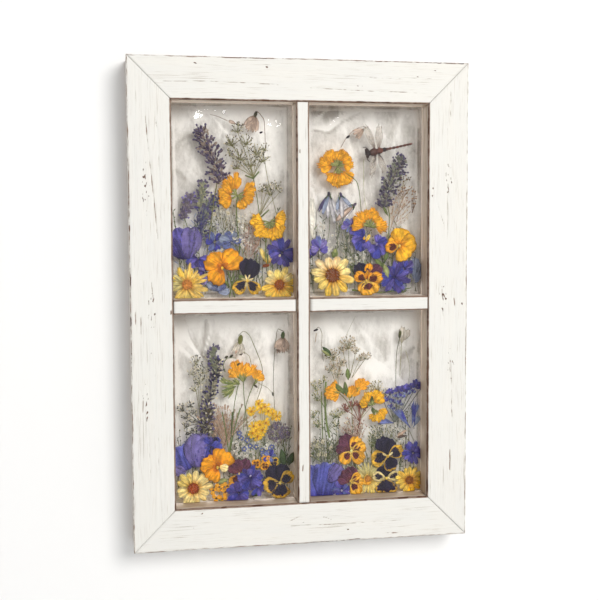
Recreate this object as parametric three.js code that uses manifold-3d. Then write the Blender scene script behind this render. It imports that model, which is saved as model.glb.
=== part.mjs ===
// Pressed flower frame: an old four-light window sash whose lights are filled with clear resin
// that holds pressed flowers, stems and one dragonfly. Units are millimetres, +Z is up and the
// front faces -Y. The origin is on the wall plane, at the screw that the keyhole slot hangs on.

import * as THREE from 'three';
import { mergeVertices } from 'three/addons/utils/BufferGeometryUtils.js';
import Module from 'manifold-3d';

const wasm = await Module();
wasm.setup();

// ---- driving dimensions ----

const WIDTH = 324;             // sash, outside to outside
const HEIGHT = 460;
const DEPTH = 38;              // sash thickness, front face to wall
const MEMBER = 40;             // face width of the stiles and rails
const UPRIGHT = 12.5;          // face width of the upright glazing bar
const CROSSBAR = 14;           // face width of the crossbar
const LIP = 22;                // depth of the front lip that the resin rests behind
const RABBET = 6;              // width of the rabbet in the stiles and rails
const BAR_WEB = 5.5;           // thickness of both bars behind the lip
const BAR_DEPTH = 34;          // the bars stop short of the wall
const ARRIS = 0.8;             // worn front corners
const GAP = 0.3;               // glue line between pieces
const PAST = 1;                // how far a cutter runs past a face, or one block into the next
const SLOT_BELOW_TOP = 12;     // hanging screw below the sash's top edge

const TENON = { wide: 6, deep: 8, long: 10, from: 8 };
const KEYHOLE = { slot: 5, entry: 10, drop: 9, mouth: 4, inside: 9 };

const RESIN = { front: LIP + GAP, skin: 1, rim: 1.5, layers: 6, pitch: 1.1, press: 0.8 };
const POCKET_FRONT = RESIN.front + RESIN.skin;
const POCKET_BACK = POCKET_FRONT + GAP + RESIN.layers * RESIN.pitch;
const RESIN_BACK = POCKET_BACK + RESIN.skin;
const PART_LINE = POCKET_FRONT + (RESIN.layers / 2) * RESIN.pitch;

const TOP = SLOT_BELOW_TOP;
const CENTRE_Z = TOP - HEIGHT / 2;

const LIGHTS = {
  top_left: { side: -1, row: 1 },
  top_right: { side: 1, row: 1 },
  bottom_left: { side: -1, row: -1 },
  bottom_right: { side: 1, row: -1 },
};

// ---- materials ----

const paint = finish(0xf1efe8, 0.75);
const resin = finish(0xdfe3dc, 0.1);
resin.transparent = true;
resin.opacity = 0.35;

const YELLOW = finish(0xe5a81c, 0.8);
const GOLD = finish(0xe8cf6a, 0.8);
const ORANGE = finish(0xe58a14, 0.8);
const CREAM = finish(0xd9cfae, 0.85);
const VIOLET = finish(0x3b2f6e, 0.8);
const BLUE = finish(0x514ca0, 0.8);
const DARK = finish(0x2a1d2b, 0.8);
const BURGUNDY = finish(0x5a2a3f, 0.8);
const LAVENDER = finish(0x5b5373, 0.9);
const GREEN = finish(0x77794a, 0.85);
const DRY = finish(0x9c7a5e, 0.9);
const CHITIN = finish(0x4a2a22, 0.5);

function finish(color, roughness) {
  return new THREE.MeshStandardMaterial({ color, roughness, metalness: 0 });
}

// ---- joining and cutting ----

function solidOf(geometry) {
  const bare = geometry.clone();
  bare.deleteAttribute('normal');
  bare.deleteAttribute('uv');
  const merged = mergeVertices(bare, 1e-4);
  return new wasm.Manifold(new wasm.Mesh({
    numProp: 3,
    vertProperties: new Float32Array(merged.attributes.position.array),
    triVerts: new Uint32Array(merged.index.array),
  }));
}

function geometryOf(solid) {
  const mesh = solid.getMesh();
  const geometry = new THREE.BufferGeometry();
  geometry.setAttribute('position', new THREE.BufferAttribute(mesh.vertProperties, 3));
  geometry.setIndex(new THREE.BufferAttribute(mesh.triVerts, 1));
  return geometry;
}

function join(solids) {
  return solids.reduce((whole, next) => whole.add(next));
}

// A block from depth d0 to d1 behind the front face, about (x, z) from the sash's centre.
function block(x, z, wide, tall, d0, d1) {
  const geometry = new THREE.BoxGeometry(wide, d1 - d0, tall);
  geometry.translate(x, (d0 + d1) / 2 - DEPTH, CENTRE_Z + z);
  return solidOf(geometry);
}

// ---- stiles and rails ----

// Section across a stile or rail: distance in from the outer edge, and y.
function memberSection() {
  const front = -DEPTH;
  return [
    [0, 0], [0, front + ARRIS], [ARRIS, front], [MEMBER - ARRIS, front],
    [MEMBER, front + ARRIS], [MEMBER, LIP - DEPTH], [MEMBER - RABBET, LIP - DEPTH],
    [MEMBER - RABBET, 0],
  ].map(([across, y]) => new THREE.Vector2(across, y));
}

// A straight member whose ends slope in at 45 degrees, lying along +X with its outer edge at
// z = 0 and its width going down.
function mitredMember(length) {
  const geometry = new THREE.ExtrudeGeometry(new THREE.Shape(memberSection()), {
    depth: 2, steps: 1, bevelEnabled: false,
  });
  const at = geometry.attributes.position;
  for (let i = 0; i < at.count; i += 1) {
    const across = at.getX(i);
    const end = Math.sign(at.getZ(i) - 1);
    const x = end * (length / 2 - across - GAP / 2);
    at.setXYZ(i, x, at.getY(i), -across);
  }
  return geometry;
}

function placedMember(length, turn, x, z) {
  const geometry = mitredMember(length);
  geometry.rotateY(turn);
  geometry.translate(x, 0, CENTRE_Z + z);
  return solidOf(geometry);
}

// Mortises for the glazing bars' stub tenons, a glue line larger than the tenon all round.
function mortise(x, z, alongX) {
  const long = 2 * (TENON.long + GAP);
  const wide = TENON.wide + 2 * GAP;
  const [w, h] = alongX ? [long, wide] : [wide, long];
  return block(x, z, w, h, TENON.from - GAP, TENON.from + TENON.deep + GAP);
}

// The keyhole slot: a round entry below a narrow slot, wider inside for the screw's head.
function keyhole() {
  const entry = round(-KEYHOLE.drop, KEYHOLE.entry, KEYHOLE.inside);
  const slot = round(0, KEYHOLE.slot, KEYHOLE.mouth + GAP);
  const way = cut(KEYHOLE.slot, KEYHOLE.mouth + GAP);
  const head = round(0, KEYHOLE.entry, KEYHOLE.inside, KEYHOLE.mouth);
  const run = cut(KEYHOLE.entry, KEYHOLE.inside, KEYHOLE.mouth);
  return join([entry, slot, way, head, run]);
}

// A round bore into the back on the middle line, from `from` to `to` in front of the wall plane.
function round(z, across, to, from = -PAST) {
  const geometry = new THREE.CylinderGeometry(across / 2, across / 2, to - from, 16);
  geometry.translate(0, -(from + to) / 2, z);
  return solidOf(geometry);
}

// A straight cut down from the keyhole's slot to its entry, over the same depths as `round`.
function cut(across, to, from = -PAST) {
  const geometry = new THREE.BoxGeometry(across, to - from, KEYHOLE.drop);
  geometry.translate(0, -(from + to) / 2, -KEYHOLE.drop / 2);
  return solidOf(geometry);
}

function stile(side) {
  const inner = side * (WIDTH / 2 - MEMBER);
  const body = placedMember(HEIGHT, side * Math.PI / 2, side * WIDTH / 2, 0);
  return body.subtract(mortise(inner, 0, true));
}

function rail(row) {
  const inner = row * (HEIGHT / 2 - MEMBER);
  const body = placedMember(WIDTH, row > 0 ? 0 : Math.PI, 0, row * HEIGHT / 2);
  const mortised = body.subtract(mortise(0, inner, false));
  return row > 0 ? mortised.subtract(keyhole()) : mortised;
}

// ---- glazing bars ----

// A bar along z with its front corners taken off, as long as the sash's opening.
function barLip(wide, long) {
  const half = wide / 2;
  const front = -DEPTH;
  const section = [
    [-half, LIP - DEPTH], [-half, front + ARRIS], [-half + ARRIS, front],
    [half - ARRIS, front], [half, front + ARRIS], [half, LIP - DEPTH],
  ].map(([x, y]) => new THREE.Vector2(x, y));
  const geometry = new THREE.ExtrudeGeometry(new THREE.Shape(section), {
    depth: long, steps: 1, bevelEnabled: false,
  });
  geometry.translate(0, 0, -long / 2);
  return geometry;
}

function uprightBar() {
  const open = HEIGHT - 2 * MEMBER - 2 * GAP;
  const lip = barLip(UPRIGHT, open);
  lip.translate(0, 0, CENTRE_Z);
  const web = block(0, 0, BAR_WEB, open, LIP - PAST, BAR_DEPTH);
  const tongue = block(0, 0, BAR_WEB, open + 2 * RABBET, LIP + GAP, BAR_DEPTH);
  const tenon = block(0, 0, TENON.wide, open + 2 * TENON.long, TENON.from, TENON.from + TENON.deep);
  const lap = block(0, 0, 2 * UPRIGHT, CROSSBAR + 2 * GAP, LIP / 2, DEPTH);
  return join([solidOf(lip), web, tongue, tenon]).subtract(lap);
}

function crossBar() {
  const open = WIDTH - 2 * MEMBER - 2 * GAP;
  const lip = barLip(CROSSBAR, open);
  lip.rotateY(Math.PI / 2);
  lip.translate(0, 0, CENTRE_Z);
  const web = block(0, 0, open, BAR_WEB, LIP - PAST, BAR_DEPTH);
  const tongue = block(0, 0, open + 2 * RABBET, BAR_WEB, LIP + GAP, BAR_DEPTH);
  const tenon = block(0, 0, open + 2 * TENON.long, TENON.wide, TENON.from, TENON.from + TENON.deep);
  const lap = block(0, 0, UPRIGHT + 2 * GAP, 2 * CROSSBAR, -PAST, LIP / 2 + GAP);
  return join([solidOf(lip), web, tongue, tenon]).subtract(lap);
}

// ---- resin ----

// Middle and size of one light's resin, from the sash's centre.
function castOf({ side, row }) {
  const inner = BAR_WEB / 2 + GAP;
  const outerX = WIDTH / 2 - MEMBER + RABBET - GAP;
  const outerZ = HEIGHT / 2 - MEMBER + RABBET - GAP;
  return {
    x: side * (inner + outerX) / 2,
    z: row * (inner + outerZ) / 2,
    wide: outerX - inner,
    tall: outerZ - inner,
  };
}

// Middle of the clear opening in front of one light, which the flowers are laid out from.
function openingCentre({ side, row }) {
  return {
    x: side * (UPRIGHT / 2 + WIDTH / 2 - MEMBER) / 2,
    z: row * (CROSSBAR / 2 + HEIGHT / 2 - MEMBER) / 2,
  };
}

function resinHalf(light, isFront) {
  const { x, z, wide, tall } = castOf(light);
  const from = isFront ? RESIN.front : PART_LINE + GAP;
  const to = isFront ? PART_LINE : RESIN_BACK;
  const pocketFrom = isFront ? POCKET_FRONT : PART_LINE - PAST;
  const pocketTo = isFront ? PART_LINE + PAST : POCKET_BACK;
  const pocket = block(x, z, wide - 2 * RESIN.rim, tall - 2 * RESIN.rim, pocketFrom, pocketTo);
  return block(x, z, wide, tall, from, to).subtract(pocket);
}

// ---- flat outlines for pressed pieces, x across and y up the sheet ----

const radians = THREE.MathUtils.degToRad;

// How far an ellipse that starts at the flower's centre reaches in one direction.
function petalReach(angle, [lean, length, wide]) {
  const off = angle - radians(lean);
  if (Math.cos(off) <= 0) return 0;
  const a = length / 2;
  const b = wide / 2;
  return (2 * Math.cos(off) / a) / ((Math.cos(off) / a) ** 2 + (Math.sin(off) / b) ** 2);
}

// A flower seen flat: petals are [direction in degrees, length, width].
function flower(x, y, petals, steps = 40, heart = 2) {
  const points = [];
  for (let i = 0; i < steps; i += 1) {
    const angle = (i / steps) * 2 * Math.PI;
    const reach = Math.max(heart, ...petals.map((petal) => petalReach(angle, petal)));
    points.push(new THREE.Vector2(x + reach * Math.cos(angle), y + reach * Math.sin(angle)));
  }
  return [new THREE.Shape(points)];
}

// A ring of equal rays, as on a daisy.
function daisy(x, y, count, length, wide, turn = 0) {
  const rays = [];
  for (let i = 0; i < count; i += 1) rays.push([turn + (i * 360) / count, length, wide]);
  return flower(x, y, rays, count * 4, length * 0.4);
}

// A strip along a smooth line; half(t) is its half width from start, 0, to end, 1.
function ribbon(line, half, steps = 2 * (line.length - 1)) {
  const curve = new THREE.SplineCurve(line.map(([x, y]) => new THREE.Vector2(x, y)));
  const left = [];
  const right = [];
  for (let i = 0; i <= steps; i += 1) {
    const t = i / steps;
    const point = curve.getPoint(t);
    const along = curve.getTangent(t);
    const side = new THREE.Vector2(-along.y, along.x).multiplyScalar(half(t, i));
    left.push(point.clone().add(side));
    right.unshift(point.clone().sub(side));
  }
  return [new THREE.Shape([...left, ...right])];
}

function stem(line, thick = 1.1) {
  return ribbon(line, () => thick / 2);
}

// A leaf or narrow petal, pointed at both ends.
function blade(line, wide, steps = 5) {
  const tip = 0.03;
  const swell = (t) => Math.sin(Math.PI * Math.min(1 - tip, t + tip));
  return ribbon(line, (t) => 0.15 + (wide / 2) * swell(t), steps);
}

// A flower spike with whorls of florets up its length.
function spike(line, wide, whorls) {
  const swell = (t) => 0.45 + 0.55 * Math.sin(Math.PI * (0.1 + 0.85 * t));
  return ribbon(line, (t, i) => (wide / 2) * swell(t) * (i % 2 ? 1 : 0.55), 2 * whorls);
}

function bud(x, y, across, sides = 6) {
  const points = [];
  for (let i = 0; i < sides; i += 1) {
    const angle = ((i + 0.5) / sides) * 2 * Math.PI;
    const corner = new THREE.Vector2(Math.cos(angle), Math.sin(angle));
    points.push(corner.multiplyScalar(across / 2).add(new THREE.Vector2(x, y)));
  }
  return [new THREE.Shape(points)];
}

// A floret that opens from a narrow tube to a broad mouth, in the direction `lean`.
function floret(x, y, lean, long, wide) {
  const c = Math.cos(radians(lean));
  const s = Math.sin(radians(lean));
  const outline = [
    [0, -0.16], [0.6, -0.5], [0.92, -0.36], [1, 0], [0.92, 0.36], [0.6, 0.5], [0, 0.16],
  ];
  return [new THREE.Shape(outline.map(([a, b]) => new THREE.Vector2(
    x + a * long * c - b * wide * s,
    y + a * long * s + b * wide * c,
  )))];
}

// Rays from one point to each of a list of places, with a bud at each.
function umbel([x, y], places, across, thick = 0.9) {
  const rays = places.map(([px, py]) => stem([[x, y], [px, py]], thick));
  const buds = places.map(([px, py]) => bud(px, py, across));
  return [...rays, ...buds].flat();
}

// Florets on short stalks all round, or part way round, a centre.
function ringOfFlorets([x, y], leans, inner, long, wide) {
  return leans.flatMap((lean) => {
    const c = Math.cos(radians(lean));
    const s = Math.sin(radians(lean));
    const stalk = stem([[x, y], [x + (inner + 1) * c, y + (inner + 1) * s]], 1.2);
    return [...stalk, ...floret(x + inner * c, y + inner * s, lean, long, wide)];
  });
}

// ---- one pressed piece ----

// Outlines in one light, lying in one of the resin's layers: layer 0 is nearest the front.
function pressed(light, layer, outlines) {
  const centre = openingCentre(light);
  const cast = castOf(light);
  const back = POCKET_FRONT + GAP + layer * RESIN.pitch + RESIN.press;
  const flat = outlines.map((outline) => {
    const geometry = new THREE.ExtrudeGeometry(outline, {
      depth: RESIN.press, steps: 1, bevelEnabled: false,
    });
    geometry.rotateX(Math.PI / 2);
    geometry.translate(centre.x, back - DEPTH, CENTRE_Z + centre.z);
    return solidOf(geometry);
  });
  const edge = RESIN.rim + GAP;
  const room = block(cast.x, cast.z, cast.wide - 2 * edge, cast.tall - 2 * edge, 0, DEPTH);
  return join(flat).intersect(room).asOriginal().simplify(0.05);
}

// ---- what lies in each light: x and y are from the middle of its opening ----

const topLeft = {
  lavender: [2, LAVENDER, [
    spike([[-28, 69], [-24, 44], [-18.5, 16]], 11, 9),
    stem([[-18.5, 18], [-19, -4], [-22.4, -27]]),
  ]],
  umbel: [3, CREAM, [
    umbel([20, 23], [
      [-2, 40], [2, 50], [9, 58], [14, 66], [23, 62], [28, 50], [22, 44], [11, 42],
    ], 6.5),
    stem([[20, 23], [22, 6], [25.8, -13]]),
    umbel([25.5, -12], [[30, 13], [36, 18], [43, 16], [46, 11]], 5),
  ]],
  nodding_bells: [4, DRY, [
    floret(26, 82, -100, 16, 10),
    blade([[23.5, 88], [24, 82], [22, 74]], 6),
    stem([[23.3, 74], [23.6, 65.5], [30.9, 58], [31.8, 48.6]]),
    stem([[24, 78], [15, 78.5], [6.2, 73.7]], 1.4),
  ]],
  yellow_cluster_upper: [1, YELLOW, [
    ringOfFlorets([4.6, 5], [10, 55, 98, 140, 185, 228, 272, 318], 6, 11.5, 10),
    stem([[4.6, 5], [3.5, -12], [2.4, -27]]),
  ]],
  yellow_cluster_lower: [0, YELLOW, [
    ringOfFlorets([35.5, -21], [8, 55, 125, 170, 205, 250, 290, 330], 5, 12, 9.5),
  ]],
  purple_petals: [3, VIOLET, [
    flower(-45, -37, [[128, 21, 13], [75, 19, 14], [25, 15, 10], [200, 14, 12], [-60, 15, 9]], 34),
  ]],
  orange_viola: [2, ORANGE, [
    flower(-9.5, -61, [[38, 19, 16], [128, 19, 15], [-128, 17, 14], [176, 12, 10]], 34),
  ]],
  dark_pansy: [1, DARK, [
    flower(14.5, -75, [[112, 20, 16], [68, 21, 17], [178, 12, 13], [5, 14, 14], [-88, 16.5, 20]], 38),
  ]],
  blue_delphinium: [2, BLUE, [
    flower(48, -48.5, [[70, 13, 9], [140, 12, 8], [-150, 11, 8], [-80, 12.5, 9], [0, 10, 8]], 34),
  ]],
  yellow_daisy: [0, YELLOW, [daisy(45.5, -80.5, 12, 17, 8.5, 12)]],
  gold_aster: [0, GOLD, [daisy(-43.8, -77.3, 15, 19, 7.5, 4)]],
};

const topRight = {
  yellow_ring: [1, YELLOW, [
    ringOfFlorets([-26, 34.5], [2, 50, 82, 122, 180, 233, 287, 338], 6.5, 11, 10),
    stem([[-26, 34.5], [-18.2, 27.3], [-7.3, 19.6], [-2.8, -6.5], [-1.5, -16]]),
  ]],
  dragonfly: [1, CHITIN, [
    blade([[2, 45.5], [11, 48], [20, 50.5]], 8, 6),
    stem([[17, 49.5], [32, 53], [47, 56.3]], 1.5),
    blade([[11, 49], [4, 61], [-4, 73.5]], 6),
    blade([[14, 50], [15, 63], [20, 78]], 6.5),
    blade([[13, 46], [16, 34], [13, 22]], 5.5),
    bud(1.5, 45.5, 4.6),
  ]],
  lavender: [2, LAVENDER, [
    spike([[34.5, 41], [28, 18], [17.5, -6]], 17, 9),
    stem([[24, 6], [25, -14], [23.9, -34]]),
  ]],
  yellow_fan: [0, YELLOW, [
    ringOfFlorets([5.4, -26], [12, 38, 64, 92, 120, 147, 170], 7, 11.5, 8.5),
  ]],
  blue_viola: [1, BLUE, [
    flower(-2, -40, [[70, 10, 11], [150, 10, 10], [-130, 10, 10], [-45, 9, 9], [10, 9, 9]], 34),
  ]],
  yellow_viola: [0, YELLOW, [
    flower(36, -45, [[98, 15, 16], [35, 15, 14], [165, 14, 12], [-45, 13, 11], [-115, 14, 12]], 38),
  ]],
  pale_daisy: [0, GOLD, [
    daisy(-32, -71.5, 9, 20.5, 13, 18),
  ]],
  dark_pansy: [1, ORANGE, [
    flower(1, -79, [[105, 18, 16], [62, 17, 15], [182, 12, 14], [0, 16, 15], [-92, 13, 22]], 38),
  ]],
  blue_delphinium: [2, BLUE, [
    flower(32, -72, [
      [50, 17, 12], [110, 12, 9], [178, 15, 12], [-140, 14, 10], [-60, 13, 11], [-5, 15, 11],
    ], 38),
  ]],
};

const bottomLeft = {
  lavender: [2, VIOLET, [
    spike([[-17.5, 53], [-19, 30], [-24, 4], [-22, -24]], 16, 11),
  ]],
  umbel: [4, CREAM, [
    umbel([-28, -8], [[-37, 42], [-29, 38], [-40, 30], [-33, 25]], 6),
    umbel([-28, -8], [[-49, 2], [-43, 4], [-49, -8], [-45, -16], [-40, -24]], 5),
    stem([[-28, -8], [-27, -20], [-24, -34]]),
  ]],
  nodding_bell: [4, DRY, [
    floret(9, 75, -96, 26, 10),
    stem([[9, 72], [17, 62], [28, 30], [23.3, 9], [20, -12]]),
  ]],
  orange_cluster: [1, ORANGE, [
    ringOfFlorets([8, 25], [62, 100, 132, 28], 3, 11, 8.5),
    blade([[8, 25], [-4, 20], [-14, 22]], 7),
    blade([[8, 25], [0, 17], [-9, 31]], 5),
    stem([[8, 25], [9.5, 0], [8.4, -27]]),
  ]],
  tansy: [0, YELLOW, [
    umbel([25, -32], [[15, -7.5], [22, -0.5], [28, -3.5], [34, -4.5], [38, -9.5], [42, -11]], 7),
    umbel([25, -32], [[18, -23], [24.5, -19], [31, -20], [15, -31]], 8),
  ]],
  dried_flower: [3, DRY, [
    ringOfFlorets([-5, -38], [70, 92, 112, 130, 48], 10, 26, 10),
  ]],
  blue_petals: [1, VIOLET, [
    flower(-41, -47, [[62, 22, 20], [12, 24, 17], [150, 18, 17], [-155, 17, 15], [100, 18, 13]], 38),
  ]],
  orange_viola: [0, ORANGE, [
    flower(-11, -58, [[88, 15, 21], [32, 13, 14], [158, 21, 14], [-140, 17, 13]], 36),
  ]],
  burgundy_viola: [2, BURGUNDY, [
    flower(2.5, -64, [[62, 13, 13], [108, 13, 12], [10, 13, 9], [-108, 11, 9], [176, 9, 8]], 34),
  ]],
  violet_flower: [1, BLUE, [
    flower(10, -78, [[85, 15, 12], [40, 14, 11], [-10, 14, 9], [-120, 17, 14], [-70, 13, 9]], 34),
  ]],
  yellow_pansy: [0, DARK, [
    flower(44, -79, [[112, 20, 18], [72, 18, 16], [182, 19, 17], [25, 15, 15], [-70, 18, 20]], 38),
  ]],
  yellow_daisy: [0, YELLOW, [daisy(-40, -78, 13, 18, 8.5, 6)]],
};

const bottomRight = {
  cream_umbel: [4, CREAM, [
    umbel([-13, 24], [[-15, 56], [-8, 59], [-11, 52], [-6, 53], [-18, 52]], 7),
    umbel([-13, 24], [[-27, 46], [-24, 39], [-29, 36], [-31, 30], [-22, 32]], 6),
    umbel([-13, 24], [[-6, 44], [2, 46]], 4.5),
  ]],
  green_stems: [5, GREEN, [
    stem([[-35.5, 45], [-36.5, 20], [-34, -38]], 2.6),
    stem([[-40.5, 55], [-40, 20], [-38.5, -36]], 1.4),
    umbel([-39, -14], [[-48, 16], [-43, 20], [-50, 6], [-46, -2]], 6),
    umbel([-34, -36], [[-48, -38], [-44, -46], [-35, -48], [-28, -43], [-50, -46]], 8, 3),
  ]],
  orange_cluster: [1, ORANGE, [
    ringOfFlorets([-19, 16], [155, 190, 228, 32, 5, -38], 4, 12.5, 9),
    blade([[-19, 16], [-21, 25], [-19.5, 33]], 5),
    stem([[-19, 16], [-20.5, 4], [-20.6, -10]]),
  ]],
  yellow_cluster: [0, YELLOW, [
    ringOfFlorets([5.5, -5], [165, 118, 72, 205, 30, -52, -88], 3, 11, 9),
  ]],
  pink_umbel: [3, DRY, [
    umbel([-6, -18], [
      [-20, -4], [-14, -3], [-20, -16], [-17, -29], [-9, -33], [-1, -30], [-1, -6],
    ], 7, 1.2),
  ]],
  blue_umbel: [2, VIOLET, [
    umbel([32, -18], [[22, 0], [29, 7], [37, 10], [40, 14], [51, 16], [57, 14]], 7, 1.2),
    blade([[32, -18], [24, -17.5], [15.5, -19.5]], 8),
    blade([[34, -6], [40, -16], [48, -27]], 6.5),
  ]],
  nodding_stem: [4, GREEN, [
    blade([[42.5, 76], [42, 68], [44, 59]], 7),
    stem([[42.5, 73], [38.6, 66], [38.5, 20], [37.7, -38]]),
  ]],
  burgundy_pansy: [1, BURGUNDY, [
    flower(-13.5, -49, [
      [114, 17, 15], [168, 13, 12], [48, 14, 12], [-15, 14.5, 13], [-132, 12, 10], [-62, 13, 11],
    ], 38),
  ]],
  black_pansy_upper: [1, DARK, [
    flower(25.7, -57, [[106, 20, 17], [66, 14, 10], [178, 18, 16], [20, 14.5, 14], [-62, 14, 14]], 38),
  ]],
  black_pansy_lower: [2, DARK, [
    flower(23.4, -79, [[95, 12, 12], [166, 13, 11], [14, 13, 11], [-88, 14.5, 24]], 36),
  ]],
  blue_petals: [1, BLUE, [
    flower(-39.5, -77, [
      [118, 21, 16], [78, 20, 14], [40, 23, 13], [-125, 19, 16], [175, 13, 13], [-75, 14, 11],
    ], 38),
  ]],
  burgundy_viola: [0, BURGUNDY, [
    flower(-14, -79, [
      [82, 14, 12], [172, 11, 10], [30, 13, 9], [-18, 12, 9], [-62, 15.5, 12], [-145, 12, 9],
    ], 38),
  ]],
  gold_aster: [3, GOLD, [daisy(5.8, -77.5, 11, 16, 7, 8)]],
  yellow_daisy: [0, YELLOW, [daisy(47, -80.5, 11, 13.5, 7.5, 10)]],
};

// ---- assembly ----

const sash = new THREE.Group();

function addPiece(name, solid, material) {
  const piece = new THREE.Mesh(geometryOf(solid), material);
  piece.name = name;
  sash.add(piece);
}

addPiece('stile_left', stile(-1), paint);
addPiece('stile_right', stile(1), paint);
addPiece('rail_top', rail(1), paint);
addPiece('rail_bottom', rail(-1), paint);
addPiece('bar_upright', uprightBar(), paint);
addPiece('bar_cross', crossBar(), paint);

const laidOut = {
  top_left: topLeft,
  top_right: topRight,
  bottom_left: bottomLeft,
  bottom_right: bottomRight,
};

for (const [place, light] of Object.entries(LIGHTS)) {
  addPiece(`resin_front_${place}`, resinHalf(light, true), resin);
  addPiece(`resin_back_${place}`, resinHalf(light, false), resin);
  for (const [kind, [layer, material, outlines]] of Object.entries(laidOut[place])) {
    addPiece(`${place}_${kind}`, pressed(light, layer, outlines.flat()), material);
  }
}

export default sash;
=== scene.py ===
"""Pressed flower frame: the dressed model. Lengths are millimetres until a mesh is made.

Helpers, painted wood, resin, the kinds of flower, the four lights with what is pressed in them, and
last the wall, the lamps and the camera.
"""
import math
import bmesh
import bpy
import mathutils
import numpy as np
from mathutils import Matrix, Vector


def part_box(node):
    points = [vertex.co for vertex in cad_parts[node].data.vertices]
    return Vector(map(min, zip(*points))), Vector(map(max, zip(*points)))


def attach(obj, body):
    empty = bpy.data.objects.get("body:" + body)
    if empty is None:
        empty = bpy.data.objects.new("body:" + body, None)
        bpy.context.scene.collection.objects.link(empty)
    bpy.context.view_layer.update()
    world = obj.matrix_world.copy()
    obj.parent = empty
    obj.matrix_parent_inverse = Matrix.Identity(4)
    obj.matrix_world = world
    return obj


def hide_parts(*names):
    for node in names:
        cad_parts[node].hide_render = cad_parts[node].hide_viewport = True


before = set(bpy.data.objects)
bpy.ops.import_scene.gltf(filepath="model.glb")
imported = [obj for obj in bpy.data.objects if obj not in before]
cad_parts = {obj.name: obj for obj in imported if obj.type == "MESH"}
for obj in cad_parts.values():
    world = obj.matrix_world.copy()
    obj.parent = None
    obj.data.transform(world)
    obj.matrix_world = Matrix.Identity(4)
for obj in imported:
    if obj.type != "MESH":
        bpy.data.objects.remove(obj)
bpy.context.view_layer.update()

MM = 0.001
CHANCE = np.random.default_rng(41)


# ---- small helpers ----

def some(low, more):
    """A random value from low to low + more."""
    return low + more * CHANCE.random()


def sway(reach):
    """A random value round 0, over the given reach."""
    return reach * (CHANCE.random() - 0.5)


def pick(options):
    """One of a list, at random."""
    return options[int(CHANCE.random() * len(options))]


def rgb(red, green, blue):
    """A screen colour, 0 to 255, as linear light."""
    def linear(value):
        share = value / 255
        return share / 12.92 if share <= 0.04045 else ((share + 0.055) / 1.055) ** 2.4
    return np.array([linear(red), linear(green), linear(blue)])


def box(node):
    """Lowest and highest corner of a CAD node, in mm."""
    low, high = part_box(node)
    return np.array(low) / MM, np.array(high) / MM


def middle_y(node):
    """Depth of the middle of a CAD node."""
    return sum(corner[1] for corner in box(node)) / 2


def noise(x, y, seed=0):
    """Smooth value noise, 0 to 1, with a feature about 1 unit wide. corner() hashes whole numbers."""
    x, y = np.broadcast_arrays(np.asarray(x, float), np.asarray(y, float))
    left, low = np.floor(x).astype(np.int64), np.floor(y).astype(np.int64)
    across, up = x - left, y - low
    across, up = across ** 2 * (3 - 2 * across), up ** 2 * (3 - 2 * up)

    def corner(i, j):
        mixed = (i * 374761393 + j * 668265263 + seed * 1442695041) & 0x7FFFFFFF
        mixed = ((mixed ^ (mixed >> 13)) * 1274126177) & 0x7FFFFFFF
        return ((mixed ^ (mixed >> 16)) & 0xFFFF) / 0xFFFF

    bottom = corner(left, low) * (1 - across) + corner(left + 1, low) * across
    top = corner(left, low + 1) * (1 - across) + corner(left + 1, low + 1) * across
    return bottom * (1 - up) + top * up


def rough(x, y, seed):
    """Noise summed over three octaves, each finer and fainter, about 0 to 1."""
    total, weight = 0.0, 0.0
    for octave in range(3):
        total = total + noise(x * 2 ** octave, y * 2 ** octave, seed + octave) / 2 ** octave
        weight += 1 / 2 ** octave
    return total / weight


def ramp(value, low, high):
    """0 below low, 1 above high, smooth between."""
    share = np.clip((value - low) / (high - low), 0, 1)
    return share * share * (3 - 2 * share)


def from_line(x, z, line):
    """Distance from points to a polyline, and how far along it, 0 to 1, the nearest point is."""
    near = np.full(np.shape(x), np.inf)
    place = np.zeros(np.shape(x))
    for i, ((x0, z0), (x1, z1)) in enumerate(zip(line, line[1:])):
        run, rise = x1 - x0, z1 - z0
        share = np.clip(((x - x0) * run + (z - z0) * rise) / (run * run + rise * rise + 1e-9), 0, 1)
        away = np.hypot(x - x0 - share * run, z - z0 - share * rise)
        place = np.where(away < near, (i + share) / (len(line) - 1), place)
        near = np.minimum(near, away)
    return near, place


def towards(lean, reach=1.0):
    """The step of a given reach in a direction, in degrees from +x."""
    turn = math.radians(lean)
    return reach * math.cos(turn), reach * math.sin(turn)


def curve_points(line, step):
    """A smooth line through the given points, sampled about every step mm."""
    knots = np.array([line[0], *line, line[-1]], float)
    found = []
    for a, b, c, d in zip(knots, knots[1:], knots[2:], knots[3:]):
        count = max(1, int(np.hypot(*(c - b)) / step))
        for t in np.arange(count) / count:
            found.append(0.5 * (2 * b + (c - a) * t + (2 * a - 5 * b + 4 * c - d) * t * t
                                + (3 * b - a - 3 * c + d) * t ** 3))
    found.append(knots[-1])
    return np.array(found)


# ---- meshes ----

def new_piece(name, points, faces, values, materials, nodes, slots=None):
    """A smooth mesh piece from points in mm, in place of the given CAD nodes.

    values holds its point attributes, n by 3 or n by 4, and slots the material of each face.
    """
    mesh = bpy.data.meshes.new(name)
    mesh.from_pydata((np.asarray(points) * MM).tolist(), [], faces)
    for key, data in values.items():
        wide = data.shape[1] == 4
        kind, field = ("FLOAT_COLOR", "color") if wide else ("FLOAT_VECTOR", "vector")
        layer = mesh.attributes.new(key, kind, "POINT")
        layer.data.foreach_set(field, np.ascontiguousarray(data, np.float32).ravel())
    for material in materials:
        mesh.materials.append(material)
    if slots is not None:
        mesh.polygons.foreach_set("material_index", np.asarray(slots, np.int32))
    mesh.polygons.foreach_set("use_smooth", np.full(len(mesh.polygons), True))
    piece = bpy.data.objects.new(name, mesh)
    bpy.context.scene.collection.objects.link(piece)
    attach(piece, "root")
    if nodes:
        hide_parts(*nodes)
    return piece


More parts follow.
